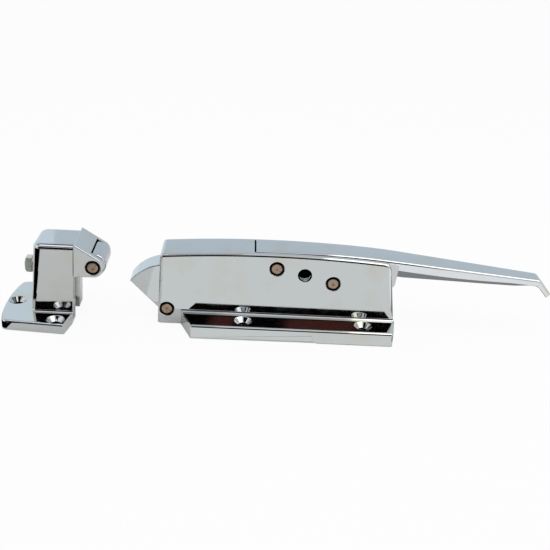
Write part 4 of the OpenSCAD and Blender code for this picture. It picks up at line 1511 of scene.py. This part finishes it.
@dataclass
class Internals:
    """Spring, link, pins, washers and spacers inside the latch."""

    wire_r: float = 0.75
    coil_r: float = 5.1
    pitch: float = 1.6
    turns: float = 2.5
    at: Point = (6.7, 11.6)
    middle: float = 11.79
    foot: float = 20.0
    arm: float = 10.8
    link_nodes: tuple[str, ...] = ("bolt_washers", "bolt_link_pin", "pull_link", "handle_link_pin")
    spacer_nodes: tuple[str, ...] = ("link_spacer_near", "link_spacer_far")

    def build(self, finishes: Finishes) -> None:
        """Makes the spring and dresses the CAD nodes that stay.

        Args:
            finishes: The materials.
        """
        width = self.turns * self.pitch
        steps = int(self.turns * 36)
        path = [Vector((x, -width / 2, -self.coil_r)) for x in (self.foot, self.foot / 2)]
        for i in range(steps + 1):
            spoke = aim(-90 - 10 * i) * self.coil_r
            path.append(Vector((spoke.x, width * (i / steps - 0.5), spoke.y)))
        path += [Vector((x, width / 2, self.coil_r)) for x in (self.arm / 2, self.arm)]
        shift = Vector((self.at[0], self.middle, self.at[1]))
        wire = tube_along([p + shift for p in path], self.wire_r)
        Form(wire).piece("bolt_spring", LATCH_CORNER, "housing", finishes.spring)
        for name in self.link_nodes + self.spacer_nodes:
            finishes.dress(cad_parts[name])
            LOG.info("%s keeps its solid", name)


# Studio


class Glow(Enum):
    """Shining material of a card: its sRGB colour and how bright it is."""

    BLACK_FLAG = ("#030303", 1.0)
    DARK_GAP = ("#0C0F18", 1.0)
    GREY_GAP = ("#93A1AD", 1.0)
    PALE_BLUE_SCRIM = ("#D6E2EE", 1.0)
    LIT_SCRIM = ("#E6F4FF", 1.05)
    SOFTBOX_EDGE = ("#EEF0F6", 1.0)
    SOFTBOX_LEFT = ("#F6F6FF", 1.4)
    SOFTBOX_FACE = ("#FFFFFF", 2.3)
    BROWN_REFLECTION = ("#5E3430", 1.0)
    LIT_TABLE = ("#F7F9FA", 1.0)
    LIT_TABLE_RIGHT = ("#FAFAFF", 1.28)
    SHADED_TABLE = ("#9C9DA2", 1.0)
    # Painted shade of the table under the parts, which the camera sees through the screw holes.
    PAINTED_SHADE_UNDER_HOLES = ("#0A0B0D", 1.0)


# Radius of the curved cards, and of those that hang in front of them, in metres
OUTER = 1.6
INNER = 1.56


@dataclass
class Studio:
    """White table, pale scrim, overhead softbox and black flags of a product photograph.

    Each arch has its name, spans, finish and radius, and each sheet its name, spans, height and finish.
    """

    floor_size: float = 8.0
    middle: Vector = Vector((0.0, 0.0, 0.03))
    arches: tuple[tuple[str, Span, Glow, float], ...] = (
        ("front_flag", (0.5, 46, -1.8, 0.70), Glow.BLACK_FLAG, OUTER),
        ("front_right", (0.5, 46, 0.70, 2.0), Glow.PALE_BLUE_SCRIM, OUTER),
        ("front_flag_left", (46, 52, -1.8, -0.42), Glow.BLACK_FLAG, OUTER),
        ("softbox_left", (52, 100, -1.8, -0.42), Glow.SOFTBOX_LEFT, OUTER),
        ("softbox_middle", (46, 99, -0.42, 0.24), Glow.SOFTBOX_EDGE, OUTER),
        ("softbox_right", (46, 99, 0.24, 2.0), Glow.SOFTBOX_FACE, OUTER),
        ("softbox_bar", (58, 72, -1.05, -0.1), Glow.BLACK_FLAG, INNER),
        ("softbox_bar_end", (66, 88, -1.5, -1.05), Glow.BLACK_FLAG, INNER),
        ("gap_left", (100, 116, -1.8, -0.42), Glow.DARK_GAP, OUTER),
        ("gap", (99, 106, -0.42, 2.0), Glow.GREY_GAP, OUTER),
        ("scrim_left", (116, 181, -2.4, -0.518), Glow.LIT_SCRIM, OUTER),
        ("scrim", (106, 181, -0.42, 2.0), Glow.PALE_BLUE_SCRIM, OUTER),
        ("scrim_between", (116, 181, -0.518, -0.42), Glow.PALE_BLUE_SCRIM, OUTER),
        ("spot_middle", (22, 38, 0.07, 0.245), Glow.BROWN_REFLECTION, INNER),
        ("spot_left", (22, 38, -0.12, -0.062), Glow.BROWN_REFLECTION, INNER),
    )
    sheets: tuple[tuple[str, Span, float, Glow], ...] = (
        ("left_flag", (-0.9, -0.211, -0.06, 0.0), 0.001, Glow.BLACK_FLAG),
        ("left_flag_middle", (-0.9, -0.219, -0.10, -0.06), 0.001, Glow.BLACK_FLAG),
        ("left_flag_front", (-0.9, -0.230, -0.50, -0.10), 0.001, Glow.BLACK_FLAG),
        ("table_behind", (-0.9, -0.13, 0.06, 0.9), 0.001, Glow.LIT_SCRIM),
        ("table_near", (-0.1195, 0.093, -0.30, -0.0375), 0.0004, Glow.LIT_TABLE),
        ("table_right", (0.093, 0.40, -0.30, -0.05), 0.0004, Glow.LIT_TABLE_RIGHT),
        ("table_shade", (0.0695, 0.20, -0.05, 0.03), 0.0005, Glow.SHADED_TABLE),
    )

    def glow(self, name: str, colour: str, strength: float) -> bpy.types.Material:
        """Plain shining material of a card.

        Args:
            name: Its name.
            colour: Its sRGB hex colour.
            strength: How bright it shines.

        Returns:
            The material.
        """
        material = new_material(name)
        tree = material.node_tree
        light = add_node(tree, "ShaderNodeEmission", {"Color": linear(colour), "Strength": strength})
        add_node(tree, "ShaderNodeOutputMaterial", links={"Surface": light.outputs[0]})
        return material

    def card(
        self, name: str, points: list[Vector], faces: list[tuple[int, ...]], material: bpy.types.Material
    ) -> bpy.types.Object:
        """Adds a card that shows in reflections alone.

        Args:
            name: Its name.
            points: Its points.
            faces: The points' numbers round each face.
            material: What it is covered with.

        Returns:
            The card.
        """
        mesh = bpy.data.meshes.new(name)
        mesh.from_pydata(points, [], faces)
        mesh.materials.append(material)
        card = linked(name, mesh)
        card.visible_camera = False
        card.visible_diffuse = False
        card.visible_shadow = False
        card.visible_transmission = False
        card.visible_volume_scatter = False
        return card

    def arch(self, name: str, spans: Span, material: bpy.types.Material, radius: float) -> None:
        """Curved card on a cylinder along X round the object.

        Args:
            name: Name of the card.
            spans: Angles of its two edges over the top, 0 in front, 90 above and 180 behind, then
                its left and its right end along X.
            material: What it is covered with.
            radius: Radius of the cylinder; a smaller one hangs in front of the others.
        """
        low, high, left, right = spans
        steps = 24
        points = []
        for i in range(steps + 1):
            turn = math.radians(low + (high - low) * i / steps)
            y, z = -math.cos(turn) * radius, math.sin(turn) * radius
            points += [self.middle + Vector((x, y, z)) for x in (left, right)]
        self.card(name, points, [(i, i + 1, i + 3, i + 2) for i in range(0, 2 * steps, 2)], material)

    def sheet(self, name: str, spans: Span, height: float, material: bpy.types.Material) -> bpy.types.Object:
        """Flat card just above the table.

        Args:
            name: Its name.
            spans: Its left and right end along X, then its front and back edge along Y.
            height: How high it lies.
            material: What it is covered with.

        Returns:
            The card.
        """
        points = [Vector((x, y, height)) for x, y, _ in box(*spans)]
        return self.card(name, points, [(0, 1, 2, 3)], material)

    def floor(self) -> None:
        """White table that keeps the object's shadow."""
        half = self.floor_size / 2
        mesh = bpy.data.meshes.new("table")
        mesh.from_pydata(box(-half, half, -half, half), [], [(0, 1, 2, 3)])
        table = linked("table", mesh)
        table.location.z = -0.0004
        material = new_material("white_card_table")
        tree = material.node_tree
        matt = add_node(tree, "ShaderNodeBsdfDiffuse", {"Color": linear("#F4F4F4")})
        white = add_node(tree, "ShaderNodeEmission", {"Color": (1.0, 1.0, 1.0, 1.0), "Strength": 1.0})
        seen = add_node(tree, "ShaderNodeLightPath").outputs["Is Camera Ray"]
        share = add_node(tree, "ShaderNodeMath", {1: 0.92}, {0: seen}, operation="MULTIPLY")
        parts = {0: share.outputs[0], 1: matt.outputs[0], 2: white.outputs[0]}
        mix = add_node(tree, "ShaderNodeMixShader", links=parts)
        add_node(tree, "ShaderNodeOutputMaterial", links={"Surface": mix.outputs[0]})
        mesh.materials.append(material)

    def world(self) -> None:
        """Plain light from all round, white where the camera or a reflection looks."""
        world = bpy.data.worlds.new("studio")
        bpy.context.scene.world = world
        world.use_nodes = True
        tree = world.node_tree
        tree.nodes.clear()
        rays = add_node(tree, "ShaderNodeLightPath").outputs
        seen = rays["Is Camera Ray"]
        for kind in ("Is Glossy Ray", "Is Transmission Ray"):
            either = {0: seen, 1: rays[kind]}
            seen = add_node(tree, "ShaderNodeMath", links=either, operation="MAXIMUM").outputs[0]
        white = {"Color": (1.0, 1.0, 1.0, 1.0)}
        level = ramp(tree, seen, (0.0, 1.0, 0.72, 1.0))
        back = add_node(tree, "ShaderNodeBackground", white, {"Strength": level})
        add_node(tree, "ShaderNodeOutputWorld", links={"Surface": back.outputs[0]})

    def lamp(self, name: str, place: Vector, size: Point, radiance: float) -> None:
        """Area lamp that faces the object.

        Args:
            name: Its name.
            place: Where it hangs, in metres.
            size: Its width and height.
            radiance: How bright its face is.
        """
        data = bpy.data.lights.new(name, "AREA")
        data.shape = "RECTANGLE"
        data.size, data.size_y = size
        data.energy = radiance * math.pi * size[0] * size[1]
        lamp = linked(name, data)
        lamp.location = place
        lamp.rotation_euler = (self.middle - place).to_track_quat("-Z", "Y").to_euler()
        lamp.visible_glossy = False
        lamp.visible_camera = False

    def camera(self) -> None:
        """Camera at the photograph's viewing angle."""
        pitch, yaw, roll = 0.4305, 0.0449, 0.0653
        focal_pixels, photo_pixels, sensor = 872.54, 550, 36.0
        place = Vector((-0.047815, -0.584946, 0.304730))
        across = Vector((math.cos(yaw), -math.sin(yaw), 0.0))
        ahead = Vector((math.sin(yaw), math.cos(yaw), 0.0))
        up = Vector((0.0, 0.0, 1.0))
        forward = ahead * math.cos(pitch) - up * math.sin(pitch)
        level_up = ahead * math.sin(pitch) + up * math.cos(pitch)
        right = across * math.cos(roll) + level_up * math.sin(roll)
        top = level_up * math.cos(roll) - across * math.sin(roll)
        data = bpy.data.cameras.new("camera")
        data.sensor_width = sensor
        data.lens = focal_pixels / photo_pixels * sensor
        data.clip_start = 0.01
        camera = linked("camera", data)
        turned = Matrix((right, top, -forward)).transposed().to_4x4()
        camera.matrix_world = Matrix.Translation(place) @ turned
        bpy.context.scene.camera = camera

    def build(self) -> None:
        """Sets up the table, cards, lamps and world."""
        self.floor()
        self.world()
        cards = {glow: self.glow(glow.name.lower(), *glow.value) for glow in Glow}
        for name, spans, glow, radius in self.arches:
            self.arch(name, spans, cards[glow], radius)
        for name, spans, height, glow in self.sheets:
            self.sheet(name, spans, height, cards[glow])
        # Dark sheets under the screw holes: painted shade of the table under the parts.
        latch = Housing()
        rows = (latch.screws_y, latch.width - latch.screws_y)
        holes = [LATCH_CORNER + Vector((x, y, 0)) for x in latch.screws_x for y in rows]
        holes += [STRIKE_CORNER + Vector((x, y, 0)) for x, y in STRIKE_SCREWS]
        for number, spot in enumerate(holes):
            x, y, half = spot.x * MM, spot.y * MM, 0.005
            span = (x - half, x + half, y - half, y + half)
            hole = self.sheet(f"hole_{number}", span, -0.0002, cards[Glow.PAINTED_SHADE_UNDER_HOLES])
            hole.visible_camera = True
        self.lamp("softbox_lamp", Vector((0.1, -0.35, 1.2)), (1.0, 0.7), 1.6)
        scene = bpy.context.scene
        scene.view_settings.view_transform = "Standard"


def main() -> None:
    """Builds the studio and every sub-assembly, in order."""
    logging.basicConfig(level=logging.INFO, format="%(name)s: %(message)s")
    studio = Studio()
    studio.camera()
    studio.build()
    finishes = Finishes.make()
    for part in (Housing(), Bolt(), Handle(), StrikeBase(), StrikeHead(), Internals()):
        part.build(finishes)
        LOG.info("%s done", type(part).__name__)


if __name__ == "__main__":
    main()
